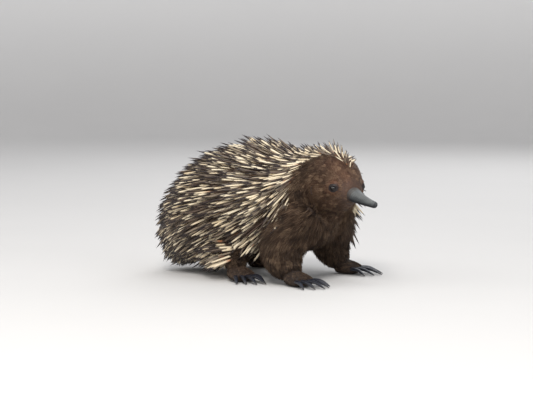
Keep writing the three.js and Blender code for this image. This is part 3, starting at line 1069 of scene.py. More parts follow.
def legs_at(shift: Triple) -> list[Leg]:
    """The four legs, as in a slow walk.

    Args:
        shift: Where the sizes' own origin lies in the frame.

    Returns:
        The legs.
    """
    return [
        Leg("front_right", (
            (0.072, -0.038, 0.108, 0.029, 0.035), (0.065, -0.058, 0.086, 0.031, 0.035),
            (0.056, -0.073, 0.060, 0.031, 0.034), (0.063, -0.081, 0.036, 0.027, 0.029),
            (0.078, -0.085, 0.019, 0.022, 0.018)), (0.090, -0.088), -14, FRONT_CLAWS, shift),
        Leg("front_left", (
            (0.064, 0.038, 0.108, 0.029, 0.035), (0.059, 0.059, 0.085, 0.031, 0.034),
            (0.048, 0.074, 0.059, 0.029, 0.032), (0.052, 0.082, 0.035, 0.025, 0.026),
            (0.062, 0.086, 0.019, 0.021, 0.017)), (0.073, 0.088), 6, FRONT_CLAWS, shift),
        Leg("hind_right", (
            (-0.070, -0.038, 0.080, 0.026, 0.035), (-0.054, -0.054, 0.060, 0.024, 0.030),
            (-0.036, -0.069, 0.041, 0.019, 0.022), (-0.028, -0.078, 0.018, 0.016, 0.015)),
            (-0.017, -0.084), -28, HIND_CLAWS, shift),
        Leg("hind_left", (
            (-0.086, 0.038, 0.080, 0.026, 0.035), (-0.083, 0.054, 0.060, 0.024, 0.030),
            (-0.084, 0.068, 0.041, 0.019, 0.022), (-0.089, 0.077, 0.018, 0.016, 0.015)),
            (-0.091, 0.085), 64, HIND_CLAWS, shift),
    ]


# The eyes


@dataclass(frozen=True)
class Eye:
    """An eye set low at the muzzle's root, in a ring of wrinkled lids."""

    side: Side
    centre: Array
    axis: Array
    radius: float = 0.0048
    wide: float = 0.0043
    high: float = 0.0034
    columns: int = 72
    # Each profile row: how far past the opening, the lift, how bare, and how dark. The dark column is the
    # black margin, then painted shade in the grooves between the folds.
    profile: tuple[Row, ...] = (
        (0.0004, -0.0009, 0.3, 1.0), (0.0000, 0.0001, 0.3, 1.0), (0.0004, 0.0004, 0.6, 0.9),
        (0.0010, 0.0002, 1.0, 0.3), (0.0015, -0.0005, 1.0, 0.55), (0.0021, -0.0005, 0.95, 0.0),
        (0.0028, -0.0012, 0.7, 0.25), (0.0037, -0.0017, 0.45, 0.0), (0.0052, -0.0027, 0.15, 0.0),
        (0.0066, -0.0042, 0.0, 0.0), (0.0050, -0.0062, 0.0, 0.0))
    lid_room: float = 0.0001
    bare_reach: float = 0.0026
    mound_reach: float = 0.0068
    ball_rows: int = 34
    ball_columns: int = 44
    pole: float = 0.02
    cornea: float = 0.00030
    cornea_width: float = 0.42
    iris_at: float = 0.52
    iris_width: float = 0.13
    wrinkle: float = 0.00022
    wrinkles: int = 17
    folds: tuple[int, int] = (3, 7)
    brow_share: float = 0.22
    brow_rise: float = 0.00025

    def frame(self) -> tuple[Array, Array]:
        """The directions ahead and up, across the eye's axis."""
        ahead = unit(AHEAD - self.axis * dot(AHEAD, self.axis))
        return ahead, np.cross(self.axis, ahead) * np.sign(np.cross(self.axis, ahead)[2])

    def opening(self, turn: Array) -> Array:
        """How far the opening reaches from the axis, at a turn from ahead."""
        return 1 / np.sqrt((np.cos(turn) / self.wide) ** 2 + (np.sin(turn) / self.high) ** 2)

    def margin_height(self, turn: Array) -> Array:
        """How high over the eye's middle the lid's margin meets the ball."""
        return np.sqrt((self.radius + self.lid_room) ** 2 - self.opening(turn) ** 2)

    def seen(self, points: Array) -> Three:
        """Where points lie about the eye.

        Args:
            points: The points.

        Returns:
            How far past the opening's edge they are, their turn from ahead, and their height along the axis.
        """
        ahead, upward = self.frame()
        offset = points - self.centre
        x, y = dot(offset, ahead), dot(offset, upward)
        turn = np.arctan2(y, x)
        return np.hypot(x, y) - self.opening(turn), turn, dot(offset, self.axis)

    def settled(self, points: Array, past: Array, turn: Array) -> Array:
        """Points near the eye laid on the mound of its lids.

        Args:
            points: Points of the skin.
            past: How far past the opening they are.
            turn: Their turn from ahead.

        Returns:
            The points, lifted where the lids stand over the skin.
        """
        steps = np.array(self.profile[1:-1])
        lift = np.interp(past, steps[:, 0], steps[:, 1], right=-1.0)
        height = self.margin_height(turn) + lift
        raised = np.maximum(height - dot(points - self.centre, self.axis), 0)
        return points + self.axis * raised[:, None] * (past < self.mound_reach)[:, None]

    def ball(self) -> Shape:
        """The eyeball, with a low cornea and a brown iris.

        Returns:
            The ball, whose points carry how much they are iris.
        """
        polar = np.linspace(self.pole, math.pi - self.pole, self.ball_rows)
        turn = circle(self.ball_columns)
        ahead, upward = self.frame()
        bulge = self.radius + self.cornea * np.exp(-((polar / self.cornea_width) ** 2))
        flat = np.cos(turn)[:, None] * ahead + np.sin(turn)[:, None] * upward
        rings = (self.centre + self.axis * (np.cos(polar) * bulge)[:, None, None]
                 + flat[None] * (np.sin(polar) * bulge)[:, None, None])
        shape = lofted(rings)
        iris = np.exp(-(((polar - self.iris_at) / self.iris_width) ** 2))
        shape.values["iris"] = np.concatenate([np.repeat(iris, self.ball_columns), [0.0, 0.0]])
        return shape.turned_out()

    def lids(self) -> Shape:
        """The lids: a ring of folds from the ball's surface out under the skin.

        Returns:
            The ring, whose points carry how bare they are, and how dark: the black margin, and painted shade
            in its grooves and wrinkles.
        """
        turn = circle(self.columns)
        ahead, upward = self.frame()
        flat = np.cos(turn)[:, None] * ahead + np.sin(turn)[:, None] * upward
        wrinkle = (0.5 + 0.5 * np.cos(turn * self.wrinkles + np.sin(turn * 3))) * self.wrinkle
        upper = eased(-0.3, 0.8, np.sin(turn))
        rings, bare, crease = [], [], []
        for index, (past, lift, bareness, dark) in enumerate(self.profile):
            folded = self.folds[0] <= index <= self.folds[1]
            out = self.opening(turn) + past * (1 + self.brow_share * upper * (index >= self.folds[0]))
            height = self.margin_height(turn) + lift - folded * wrinkle
            height = height + upper * self.brow_rise * (1 <= index <= self.folds[0])
            rings.append(self.centre + flat * out[:, None] + self.axis * height[:, None])
            bare.append(np.full(self.columns, bareness))
            # How dark: the black margin, and painted shade at the bottoms of the grooves and wrinkles.
            crease.append(np.clip(dark * 0.85 + folded * wrinkle * 700, 0, 1))
        shape = wrapped(np.array(rings).transpose(1, 0, 2))
        shape.values = {"bare": np.array(bare).T.ravel(), "crease": np.array(crease).T.ravel(),
                        "warm": np.full(len(shape.points), 0.8), "shade": np.full(len(shape.points), 0.15)}
        return shape.turned_out()


@dataclass(frozen=True)
class Eyes:
    """Both eyes with their lids."""

    trunk: Trunk
    angle: float = 80.0
    share: float = 0.45
    sink: float = 0.0016

    def made(self) -> list[Eye]:
        """The two eyes in their places.

        Returns:
            The left eye and the right.
        """
        t = self.trunk.along("brow", self.share)
        found = []
        for side in Side:
            point, normal, _, _ = self.trunk.surface(t, math.radians(self.angle) * side.value)
            found.append(Eye(side, point - normal * self.sink, normal))
        return found

    def build(self) -> None:
        """Builds the eyeballs and lids."""
        for eye in self.made():
            name = eye.side.label
            eye.ball().dressed(f"eyeball_{name}", EyeFinish(), "eyeball", [f"eye_{name}"])
            eye.lids().dressed(f"eyelids_{name}", LidFinish(), "fur")


# The skin


@dataclass
class Surface:
    """The skin as arrays: its points and triangles, and the values that its points carry."""

    points: Array
    triangles: Array
    normals: Array
    values: dict[str, Array]
    tree: BVHTree

    def inside(self, point: Array, room: float) -> bool:
        """Whether a point lies in the flesh, or nearer to it than some room."""
        near, normal, _, _ = self.tree.find_nearest(Vector(point))
        return (Vector(point) - near).dot(normal) < room


@dataclass(frozen=True)
class Skin:
    """One skin over the trunk, the legs and the feet."""

    trunk: Trunk
    legs: list[Leg]
    eyes: list[Eye]
    voxel: float = 0.0023
    rounds: int = 5
    leg_coat: float = 0.0035
    foot_coat: float = 0.0010
    leg_fur: Row = (0.024, 0.022, 0.018, 0.013, 0.006)
    foot_fur: float = 0.0042
    limb_warmth: float = 0.14
    trunk_grid: tuple[int, int] = (190, 96)
    leg_grid: tuple[int, int] = (48, 48)
    foot_grid: tuple[int, int] = (40, 48)
    lip_rings: tuple[Pair, ...] = ((0.93, 0.0012), (0.84, 0.0022), (0.74, 0.0028))
    knuckle: Triple = (0.0082, 0.0046, 0.0048)
    knuckle_grid: tuple[int, int] = (14, 20)
    knuckle_dip: float = -12.0
    socket: float = 0.0030
    socket_reach: Pair = (0.0020, 0.0050)
    eye_room: float = 0.012
    replaced: tuple[str, ...] = ("torso", "tail", "neck", "head")

    def trunk_rings(self) -> Three:
        """The trunk's skin as rings, with the places and angles of their points.

        Returns:
            The rings, the places along the trunk, and the angles.
        """
        rows, sides = self.trunk_grid
        t, angle = np.meshgrid(np.linspace(0, 1, rows), circle(sides) - math.pi, indexing="ij")
        point, normal, _, _ = self.trunk.surface(t, angle)
        return point - normal * self.trunk.coat_depth(t)[..., None], t, angle

    def lip(self, rings: Array) -> Array:
        """The trunk with its face closed down onto the beak.

        Args:
            rings: The trunk's rings.

        Returns:
            The rings, and a few more in front of them.
        """
        forward, _, _ = self.trunk.axes(np.array([1.0]))
        middle = rings[-1].mean(axis=0)
        out = rings[-1] - middle
        extra = [middle + out * size + forward * ahead for size, ahead in self.lip_rings]
        return np.concatenate([rings, np.array(extra)])

    def toe_ball(self, toe: Toe) -> Shape:
        """A toe's knuckle.

        Args:
            toe: The toe.

        Returns:
            A ball drawn out along the toe.
        """
        rows, sides = self.knuckle_grid
        long, wide, high = self.knuckle
        polar = np.linspace(0.1, math.pi - 0.1, rows)[:, None, None]
        turn = circle(sides)[:, None]
        forward, left, upward = framed(heading(toe.turn, self.knuckle_dip))
        flat = np.cos(turn) * left * wide + np.sin(turn) * upward * high
        return lofted(toe.root + (np.cos(polar) * forward * long) + np.sin(polar) * flat)

    def forms(self) -> Shape:
        """All the closed forms that the skin covers, each passing into the next.

        Returns:
            The forms as one shape.
        """
        rings, _, _ = self.trunk_rings()
        shapes = [lofted(self.lip(rings))]
        for leg in self.legs:
            shapes.append(lofted(leg.limb().rings(*self.leg_grid, self.leg_coat)))
            shapes.append(lofted(leg.foot().rings(*self.foot_grid, self.foot_coat)))
            shapes += [self.toe_ball(toe) for toe in leg.toes()]
        return Shape.joined([shape.turned_out() for shape in shapes])

    def remeshed(self) -> tuple[Array, Array]:
        """The forms fused into one closed surface.

        Returns:
            Its points and its quads.
        """
        source = bpy.data.objects.new("forms", self.forms().mesh("forms"))
        bpy.context.scene.collection.objects.link(source)
        cover = source.modifiers.new("fused", "REMESH")
        cover.mode = "VOXEL"
        cover.voxel_size = self.voxel
        graph = bpy.context.evaluated_depsgraph_get()
        mesh = bpy.data.meshes.new_from_object(source.evaluated_get(graph))
        points = np.zeros(len(mesh.vertices) * 3, np.float32)
        mesh.vertices.foreach_get("co", points)
        corners = np.zeros(len(mesh.loops), np.int32)
        mesh.loops.foreach_get("vertex_index", corners)
        bpy.data.objects.remove(source)
        bpy.data.meshes.remove(mesh)
        return points.reshape(-1, 3).astype(float), corners.reshape(-1, 4)

    @staticmethod
    def blurred(values: Array, quads: Array, share: float, rounds: int) -> Array:
        """Values evened out over the surface.

        Args:
            values: A row of values for each point.
            quads: The surface's faces.
            share: How far each round goes towards the mean of the neighbours.
            rounds: How many rounds.

        Returns:
            The new values.
        """
        here, there = (np.concatenate([np.roll(quads, step, axis=1) for step in pair]).ravel()
                       for pair in ((0, 1), (-1, 2)))
        count = np.maximum(np.bincount(here, minlength=len(values)), 1)
        for _ in range(rounds):
            mean = np.stack([np.bincount(here, column[there], len(values)) for column in values.T], axis=-1)
            values = values + share * (mean / count[:, None] - values)
        return values

    def trunk_rows(self) -> Three:
        """Places on the trunk with what the coat does there.

        Returns:
            The places; for each the part and the place along it; and the flow and the fur's length, lift,
            warmth and shade.
        """
        trunk, along = self.trunk, self.trunk.along
        rings, t, angle = self.trunk_rings()
        _, normal, tailward, downward = trunk.surface(t, angle)
        limit, _, _ = trunk.spiny(t)
        share = np.abs(angle) / np.maximum(limit, 0.2)
        front = eased(along("chest"), along("neck_root"), t)
        head = eased(along("neck_front"), along("head_middle"), t)
        low = eased(0.8, 1.4, share) * (1 - head)
        droop = trunk.droop(t) * np.minimum(share, 1) ** 1.5 * (1 - head) + np.radians(28) * low * front
        droop = droop + np.radians(26) * head * eased(0.5, 1.6, np.abs(angle))
        droop = droop * (1 - eased(2.2, 2.9, np.abs(angle)))
        flow = tailward * np.cos(droop)[..., None] + downward * np.sin(droop)[..., None]
        flow = flow * (1 - 2 * eased(along("muzzle", 0.72), along("muzzle", 0.86), t)[..., None])
        fur = trunk.curve("fur", t)[..., 0] * (1 - 0.35 * low * (1 - front))
        lift = 25 - 10 * head
        crown = head * (1 - eased(0.7, 1.3, np.abs(angle)))
        warm = 0.12 + 0.22 * crown + 0.14 * head
        shade = 0.42 + 0.18 * low - 0.42 * head + 0.34 * crown
        keys = np.stack([np.full(t.size, Part.TRUNK.value), t.ravel()], axis=-1)
        rows = np.stack([*np.moveaxis(flow, -1, 0), fur, lift, warm, shade], axis=-1)
        return rings.reshape(-1, 3), keys, rows.reshape(-1, 7)

    def limb_rows(self, leg: Leg, is_foot: bool) -> Three:
        """Places on a leg or its foot with what the coat does there.

        Args:
            leg: The leg.
            is_foot: Whether they are on its foot.

        Returns:
            What the trunk's rows hold, for these places.
        """
        form = leg.foot() if is_foot else leg.limb()
        grid = self.foot_grid if is_foot else self.leg_grid
        place = np.repeat(np.linspace(0, 1, grid[0]), grid[1])
        number = np.full(len(place), leg.number(is_foot))
        forward, _, _ = form.axes(place)
        if is_foot:
            lean, fur, lift, shade = forward, np.full(len(place), self.foot_fur), 12.0, 0.85 + 0 * place
        else:
            fur = np.interp(place, np.linspace(0, 1, len(self.leg_fur)), self.leg_fur)
            lean, lift, shade = forward - AHEAD * 0.35, 22.0, 0.55 + 0.30 * place
        even = np.ones(len(place))
        rows = np.column_stack([unit(lean), fur, lift * even, self.limb_warmth * even, shade])
        rings = form.rings(*grid, self.foot_coat if is_foot else self.leg_coat)
        return rings.reshape(-1, 3), np.stack([number, place], axis=-1), rows

    def build(self) -> Surface:
        """Builds the skin and what the coat needs to know of it.

        Returns:
            The skin's surface.
        """
        points, quads = self.remeshed()
        for _ in range(self.rounds):
            points = self.blurred(points, quads, 0.55, 1)
            points = self.blurred(points, quads, -0.50, 1)
        points = self.blurred(points, quads, 0.5, 1)
        for eye in self.eyes:
            past, _, height = eye.seen(points)
            near = (past < self.socket_reach[1]) & (np.abs(height) < self.eye_room)
            sink = (1 - eased(*self.socket_reach, past)) * self.socket
            points = points - eye.axis * (near * sink)[:, None]
        points[:, 2] = np.maximum(points[:, 2], 0.0)
        blocks = [self.trunk_rows()]
        blocks += [self.limb_rows(leg, is_foot) for leg in self.legs for is_foot in (False, True)]
        places, keys, rows = (np.vstack(block) for block in zip(*blocks))
        nearest = nearest_of(places, points)
        rows = self.blurred(rows[nearest], quads, 0.7, 12)
        part, place = keys[nearest].T
        values = {"warm": rows[:, 5], "shade": rows[:, 6],
                  "sole": (part >= Part.PAD.value) * (1 - eased(0.0012, 0.0045, points[:, 2]))}
        shape = Shape(points, [quads], values).turned_out()
        nodes = list(self.replaced) + [f"{kind}_{leg.name}" for leg in self.legs for kind in ("leg", "foot")]
        piece = shape.dressed("skin", SkinFinish(), "fur", nodes)
        normals = np.zeros(len(points) * 3, np.float32)
        piece.data.vertices.foreach_get("normal", normals)
        normals = normals.reshape(-1, 3).astype(float)
        flow = rows[:, :3] - normals * dot(rows[:, :3], normals)[:, None]
        carried = {"flow": unit(flow), "length": rows[:, 3], "lift": rows[:, 4], "warm": rows[:, 5],
                   "shade": rows[:, 6], "part": part, "place": place}
        faces = shape.faces[0]
        triangles = np.concatenate([faces[:, [0, 1, 2]], faces[:, [0, 2, 3]]])
        tree = BVHTree.FromPolygons(points.tolist(), faces.tolist())
        return Surface(points, triangles, normals, carried, tree)


# Spines


@dataclass
class Planned:
    """Spines to be grown: their roots, how they stand, and each one's random draws."""

    roots: Array
    normals: Array
    lie: Array
    length: Array
    lift: Array
    t: Array
    angle: Array
    draws: Array


@dataclass(frozen=True)
class Spines:
    """The spines: rows round the back that lie towards the tail, droop on the flanks and clear the floor.

    Angles are in degrees. A try says how much steeper and how much shorter a spine then is. The left
    shoulder's spines hang, stand out and are longer by the values named left.
    """

    trunk: Trunk
    skin: Surface
    first: float = 0.012
    last: tuple[str, float] = ("brow", 0.6)
    least_spacing: float = 0.0028
    spacing_growth: float = 0.070
    row_share: float = 0.86
    step_scatter: float = 0.28
    row_scatter: float = 0.3
    row_depth: float = 0.012
    left_crown: float = 1.6
    left_droop: float = 30.0
    left_lift: float = 24.0
    left_growth: float = 0.24
    droop_scatter: Pair = (6.0, 5.0)
    lift_scatter: Pair = (5.0, 3.0)
    length_range: Pair = (0.80, 0.34)
    stout: float = 0.0020
    stout_range: Pair = (0.86, 0.28)
    slimmest: float = 0.26
    full_length: float = 0.078
    sink: float = 0.0024
    bend: float = 0.05
    room: float = 0.0012
    thigh_spacing: float = 0.0056
    thigh_length: float = 0.048
    thigh_lie: Triple = (-0.86, 0.10, -0.50)
    thigh_angle: float = 135.0
    probe: float = 0.032
    probe_depth: float = 0.02
    proud: float = 0.018
    lowest_tip: float = 0.004
    dark_share: float = 0.56
    root_end: Pair = (0.15, 0.14)
    tip_start: Pair = (0.77, 0.08)
    sides: int = 6
    shares: Row = (-0.11, 0.10, 0.32, 0.62, 0.86, 1.0)
    girth: Row = (0.62, 0.86, 1.0, 0.84, 0.46)
    tries: tuple[Pair, ...] = ((0, 1), (6, 1), (12, 1), (18, 0.95), (10, 0.75), (26, 0.75), (40, 0.6))
    patch: Patch = Patch(0.018, 0.004)

    def roots(self) -> tuple[Array, Array]:
        """The roots' places: rows across the back, each set half a step aside, a little uneven.

        Returns:
            The places along the trunk, and the angles from the back.
        """
        random = np.random.default_rng(41)
        along = self.trunk.along
        t, odd = self.first, False
        places, angles = [], []
        while t < along(*self.last):
            limit, length, _ = self.trunk.spiny(np.array([t]))
            spacing = self.least_spacing + self.spacing_growth * float(length[0])
            crown = float(eased(along("neck_front"), along("head_middle"), np.array([t]))[0])
            for side in Side:
                wider = 1 + self.left_crown * crown * (side is Side.LEFT)
                fine = np.linspace(0, float(limit[0]) * 1.02 * wider, 240)
                ring = self.trunk.point(np.full(240, t), fine)
                arc = np.concatenate([[0], np.cumsum(np.linalg.norm(np.diff(ring, axis=0), axis=1))])
                start = 0.5 if odd else (0.0 if side is Side.LEFT else 1.0)
                steps = np.arange(start, arc[-1] / spacing)
                steps = steps + random.uniform(-self.step_scatter, self.step_scatter, len(steps))
                found = np.interp(steps * spacing, arc, fine) * side.value
                scatter = random.uniform(-self.row_scatter, self.row_scatter, len(found))
                places.append(t + scatter * self.row_depth)
                angles.append(found)
            probe = self.trunk.point(np.array([t, t + 0.002]), np.full(2, math.pi / 3))
            t += spacing * self.row_share * 0.002 / float(np.linalg.norm(probe[1] - probe[0]))
            odd = not odd
        return np.clip(np.concatenate(places), 0.004, 0.99), np.concatenate(angles)

    def landed(self, point: Array, normal: Array) -> Array:
        """Where a root meets the skin.

        Args:
            point: The root's place on the fur's surface.
            normal: The way out of it.

        Returns:
            The place on the skin, or not a number where another form lies over it or there is none.
        """
        start = Vector(point + normal * self.probe)
        hit, _, _, distance = self.skin.tree.ray_cast(start, Vector(-normal), self.probe + self.probe_depth)
        if hit is not None and distance > self.probe - self.proud:
            return np.array(hit)
        return np.full(3, np.nan)

    def thighs(self, random: np.random.Generator) -> Planned:
        """Spines on the outer side of the thighs, which the trunk's own rows don't reach.

        Args:
            random: The source of random draws.

        Returns:
            The spines' plan.
        """
        own, points, normals = self.skin.values, self.skin.points, self.skin.normals
        hind = (own["part"] == Part.HIND_RIGHT.value) | (own["part"] == Part.HIND_LEFT.value)
        sign = np.where(points[:, 1] > 0, 1.0, -1.0)
        outer = normals[:, 1] * sign - 0.5 * normals[:, 0] > 0.25
        reached = (own["place"] > 0.10) & (own["place"] < 0.84) & (points[:, 2] > 0.019)
        spots = np.flatnonzero(hind & outer & reached)
        cells = np.floor(points[spots] / self.thigh_spacing).astype(int)
        spots = spots[np.unique(cells, axis=0, return_index=True)[1]]
        points, normals, sign, count = points[spots], normals[spots], sign[spots], len(spots)
        back, aside, down = self.thigh_lie
        way = np.column_stack([np.full(count, back), aside * sign, np.full(count, down)])
        lie = unit(way - normals * dot(way, normals)[:, None])
        length = self.thigh_length * random.uniform(0.8, 1.2, count)
        lift = np.radians(random.uniform(10, 18, count))
        t = np.full(count, self.trunk.along("back"))
        angle = np.radians(self.thigh_angle) * sign
        return Planned(points, normals, lie, length, lift, t, angle, random.uniform(0, 1, (count, 6)))

    def hanging(self, t: Array) -> Array:
        """How much a place belongs to the shoulder, where the spines hang."""
        neck = eased(self.trunk.along("neck_root", 0.6), self.trunk.along("neck_front"), t)
        return eased(self.trunk.along("chest"), self.trunk.along("shoulders"), t) * (1 - neck)

    def planned(self) -> Planned:
        """Every spine's root and the way it would best stand.

        Returns:
            The plan. A root that finds no skin is not a number.
        """
        random = np.random.default_rng(7)
        t, angle = self.roots()
        point, normal, tailward, downward = self.trunk.surface(t, angle)
        limit, length, back_lift = self.trunk.spiny(t)
        draws = random.uniform(0, 1, (len(t), 6))
        share = np.minimum(np.abs(angle) / np.maximum(limit, 0.05), 1.05)
        far = (angle > 0) * eased(0.45, 0.85, share) * self.hanging(t)
        each, patchy = np.radians(self.droop_scatter)
        droop = self.trunk.droop(t) * share**1.5 + each * (draws[:, 0] * 2 - 1)
        droop = droop + patchy * waves(point, 0.055, 3) + np.radians(self.left_droop) * far
        lie = tailward * np.cos(droop)[:, None] + downward * np.sin(droop)[:, None]
        each, patchy = np.radians(self.lift_scatter)
        lift = back_lift + (np.radians(self.trunk.flank_lift) - back_lift) * np.minimum(share, 1)
        lift = lift + each * (draws[:, 1] * 2 - 1) + patchy * waves(point, 0.04, 5)
        lift = lift + np.radians(self.left_lift) * far
        shortest, more = self.length_range
        length = length * (1 + self.left_growth * far) * (shortest + more * draws[:, 2])
        roots = np.array([self.landed(*spot) for spot in zip(point, normal)])
        plans = (Planned(roots, normal, lie, length, lift, t, angle, draws), self.thighs(random))
        return Planned(*(np.concatenate([getattr(plan, f.name) for plan in plans]) for f in fields(Planned)))

    def line_of(self, plan: Planned, index: int) -> tuple[Array, Array] | None:
        """One spine's middle line, clear of the legs and the floor.

        Args:
            plan: The plan of all spines.
            index: Which spine.

        Returns:
            Its line and its sideways direction, or none where there is no room for it.
        """
        root, normal, shares = plan.roots[index], plan.normals[index], np.array(self.shares)
        for extra, shorter in self.tries:
            own = plan.length[index] * shorter
            raised = plan.lift[index] + math.radians(extra)
            way = plan.lie[index] * math.cos(raised) + normal * math.sin(raised)
            least = (self.lowest_tip - root[2]) / own
            if way[2] < least:
                flat = unit(np.array([way[0], way[1], 0.0])) * math.sqrt(max(1 - least * least, 0))
                way = flat + UP * least
            bend = (plan.draws[index, 3] - 0.3) * self.bend * own
            line = root + way * (shares * own)[:, None]
            line = line - normal * (bend * np.maximum(shares, 0) ** 2)[:, None]
            line[0] -= normal * self.sink
            if not any(self.skin.inside(place, self.room) for place in line[2:]):
                return line, unit(np.cross(way, normal))
        return None

    def marks(self, t: Array, share: Array, places: Array) -> dict[str, Array]:
        """Each spine's own colours and bands.

        Args:
            t: The spines' places along the trunk.
            share: How far down the flank they grow.
            places: Where they are.

        Returns:
            The values that the finish reads.
        """
        random = np.random.default_rng(19)
        count, along = len(t), self.trunk.along
        patchy = waves(places, 0.030, 11)
        low = eased(0.55, 0.95, share) * (1 - eased(along("shoulders"), along("neck_front"), t))
        dark = (random.uniform(0, 1, count) + 0.16 * patchy < self.dark_share - 0.12 * low).astype(float)
        tint = np.clip(random.beta(1.6, 2.8, count) + 0.1 * patchy, 0, 1)
        dark = dark * random.uniform(0.72, 1.0, count)
        rust = (random.uniform(0, 1, count) < 0.26 + 0.30 * low) * random.uniform(0.4, 1.0, count)
        root_end, tip_start = (middle + spread * random.normal(size=count)
                               for middle, spread in (self.root_end, self.tip_start))
        return {"tint": tint, "dark": dark, "rust": rust, "root_end": np.clip(root_end, 0.02, 0.5),
                "tip_start": np.clip(tip_start, 0.55, 0.92)}

    def build(self) -> None:
        """Builds the spines in pieces by the part of the back and the side."""
        plan, found = self.planned(), {}
        for index in np.flatnonzero(~np.isnan(plan.roots[:, 0])):
            line = self.line_of(plan, index)
            if line is not None:
                found[index] = line
        kept = np.array(list(found))
        lines, across = (np.array(values) for values in zip(*found.values()))
        t, angle, along = plan.t[kept], plan.angle[kept], self.trunk.along
        stout = self.stout * np.minimum(1, self.slimmest + plan.length[kept] / self.full_length)
        stout = stout * (self.stout_range[0] + self.stout_range[1] * plan.draws[kept, 4])
        widths = stout[:, None] * np.array(self.girth)
        limit, _, _ = self.trunk.spiny(t)
        each = self.marks(t, np.abs(angle) / np.maximum(limit, 0.05), lines[:, 1])
        start = 0.0
        for name, end in (("tail", along("rump")), ("back", along("chest")),
                          ("shoulders", along("neck_front")), ("crown", 1.01)):
            for side in Side:
                mine = (t >= start) & (t < end) & ((angle >= 0) == (side is Side.LEFT))
                shape = tapered(lines[mine], across[mine], widths[mine], widths[mine], self.sides,
                                np.array(self.shares), {key: value[mine] for key, value in each.items()},
                                np.column_stack([t[mine], angle[mine]]), self.patch)
                shape.dressed(f"spines_{name}_{side.label}", SpineFinish(), "spines")
            start = end


# Fur


@dataclass
class Roots:
    """Where locks of fur grow, and how the coat lies there."""

    points: Array
    normals: Array
    flow: Array
    length: Array
    lift: Array
    warm: Array
    shade: Array
    part: Array
    place: Array
    angle: Array

    def only(self, mask: Array) -> "Roots":
        """The roots that a mask or their numbers pick."""
        return Roots(**{f.name: getattr(self, f.name)[mask] for f in fields(self)})


@dataclass(frozen=True)
class Cut:
    """A lock's shape: how far along it its points are, its girth at each but the tip, and its patch."""

    shares: Row
    girth: Row
    patch: Patch = Patch(0.003, 0.003)


SHORT = Cut((-0.12, 0.42, 1.0), (0.75, 1.0))
LONG = Cut((-0.08, 0.32, 0.70, 1.0), (0.8, 1.0, 0.62))


@dataclass(frozen=True)
class Locks:
    """How the fur of one zone is cut into locks, and how far they gather into clumps."""

    name: str
    count: int
    cut: Cut
    width: float
    slim: float
    unevenness: float
    clump: float
    pull: float
    sway: float = 9.0
    more_sway: float = 10.0
    bend: float = 0.16
    tone_spread: Pair = (0.19, 0.20)
    sink: float = 0.0006
    floor_room: float = 0.0003
    sides: int = 3

    def grow(self, roots: Roots, seed: int) -> Shape:
        """Grows the locks.

        Args:
            roots: Where they grow.
            seed: The seed of their random draws.

        Returns:
            All locks as one shape.
        """
        random = np.random.default_rng(seed)
        count = len(roots.points)
        draws = random.uniform(0, 1, (count, 5))
        across = unit(np.cross(roots.flow, roots.normals))
        sway = np.radians(self.sway + self.more_sway * self.unevenness) * (draws[:, 0] * 2 - 1)
        sway = sway + np.radians(self.sway) * waves(roots.points, 0.03, 23)
        flow = roots.flow * np.cos(sway)[:, None] + across * np.sin(sway)[:, None]
        lift = roots.lift * (0.55 + 0.9 * draws[:, 1])
        length = roots.length * (1 - 0.45 * self.unevenness + 0.9 * self.unevenness * draws[:, 2])
        shares = np.array(self.cut.shares)
        line = self.laid(replace(roots, flow=flow, length=length, lift=lift))
        side = unit(np.cross(flow, roots.normals))
        bend = (draws[:, 3] * 2 - 1) * self.bend * length
        line = line + side[:, None] * (bend[:, None] * np.maximum(shares, 0) ** 2)[..., None]
        tone = random.normal(0.5, self.tone_spread[0], count)
        if self.clump:
            chosen, own = self.clumps(roots, random)
            leading = self.laid(roots.only(chosen))[own]
            line = line + (leading - line) * (self.pull * np.maximum(shares, 0) ** 1.5)[:, None]
            tone = 0.5 + (tone - 0.5) * 0.7 + random.normal(0.0, self.tone_spread[1], len(chosen))[own]
        line[..., 2] = np.maximum(line[..., 2], FLOOR_ROOM + self.floor_room)
        widths = self.width * (0.75 + 0.5 * draws[:, 4])[:, None] * np.array(self.cut.girth)
        each = {"tint": np.clip(tone, 0, 1), "warm": roots.warm, "shade": roots.shade}
        return tapered(line, side, widths, widths * self.slim, self.sides, shares, each,
                       np.column_stack([roots.place, roots.angle]), self.cut.patch)

    def laid(self, roots: Roots) -> Array:
        """Middle lines that rise from the skin and bend over to lie along it.

        Args:
            roots: Where the locks grow, with the way, length and lift that each has.

        Returns:
            A line of points for each lock.
        """
        shares = np.array(self.cut.shares)
        steps = np.diff(shares)
        middles = (shares[1:] + shares[:-1]) / 2
        steep = np.radians(roots.lift)[:, None] * (1.6 - 1.2 * np.maximum(middles, 0))
        moves = roots.flow[:, None] * np.cos(steep)[..., None]
        moves = moves + roots.normals[:, None] * np.sin(steep)[..., None]
        moves = moves * (steps * roots.length[:, None])[..., None]
        start = roots.points - roots.normals * self.sink + moves[:, 0] * (shares[0] / steps[0])
        passed = np.concatenate([np.zeros((len(moves), 1, 3)), np.cumsum(moves, axis=1)], axis=1)
        return start[:, None] + passed

    def clumps(self, roots: Roots, random: np.random.Generator) -> tuple[Array, Array]:
        """Locks that their neighbours lean to.

        Args:
            roots: Where the locks grow.
            random: The source of random draws.

        Returns:
            The leading locks, and for each lock which of them it follows.
        """
        cells = np.floor(roots.points / self.clump).astype(int)
        firsts = np.unique(cells, axis=0, return_index=True)[1]
        chosen = firsts[random.permutation(len(firsts))]
        return chosen, nearest_of(roots.points[chosen], roots.points)


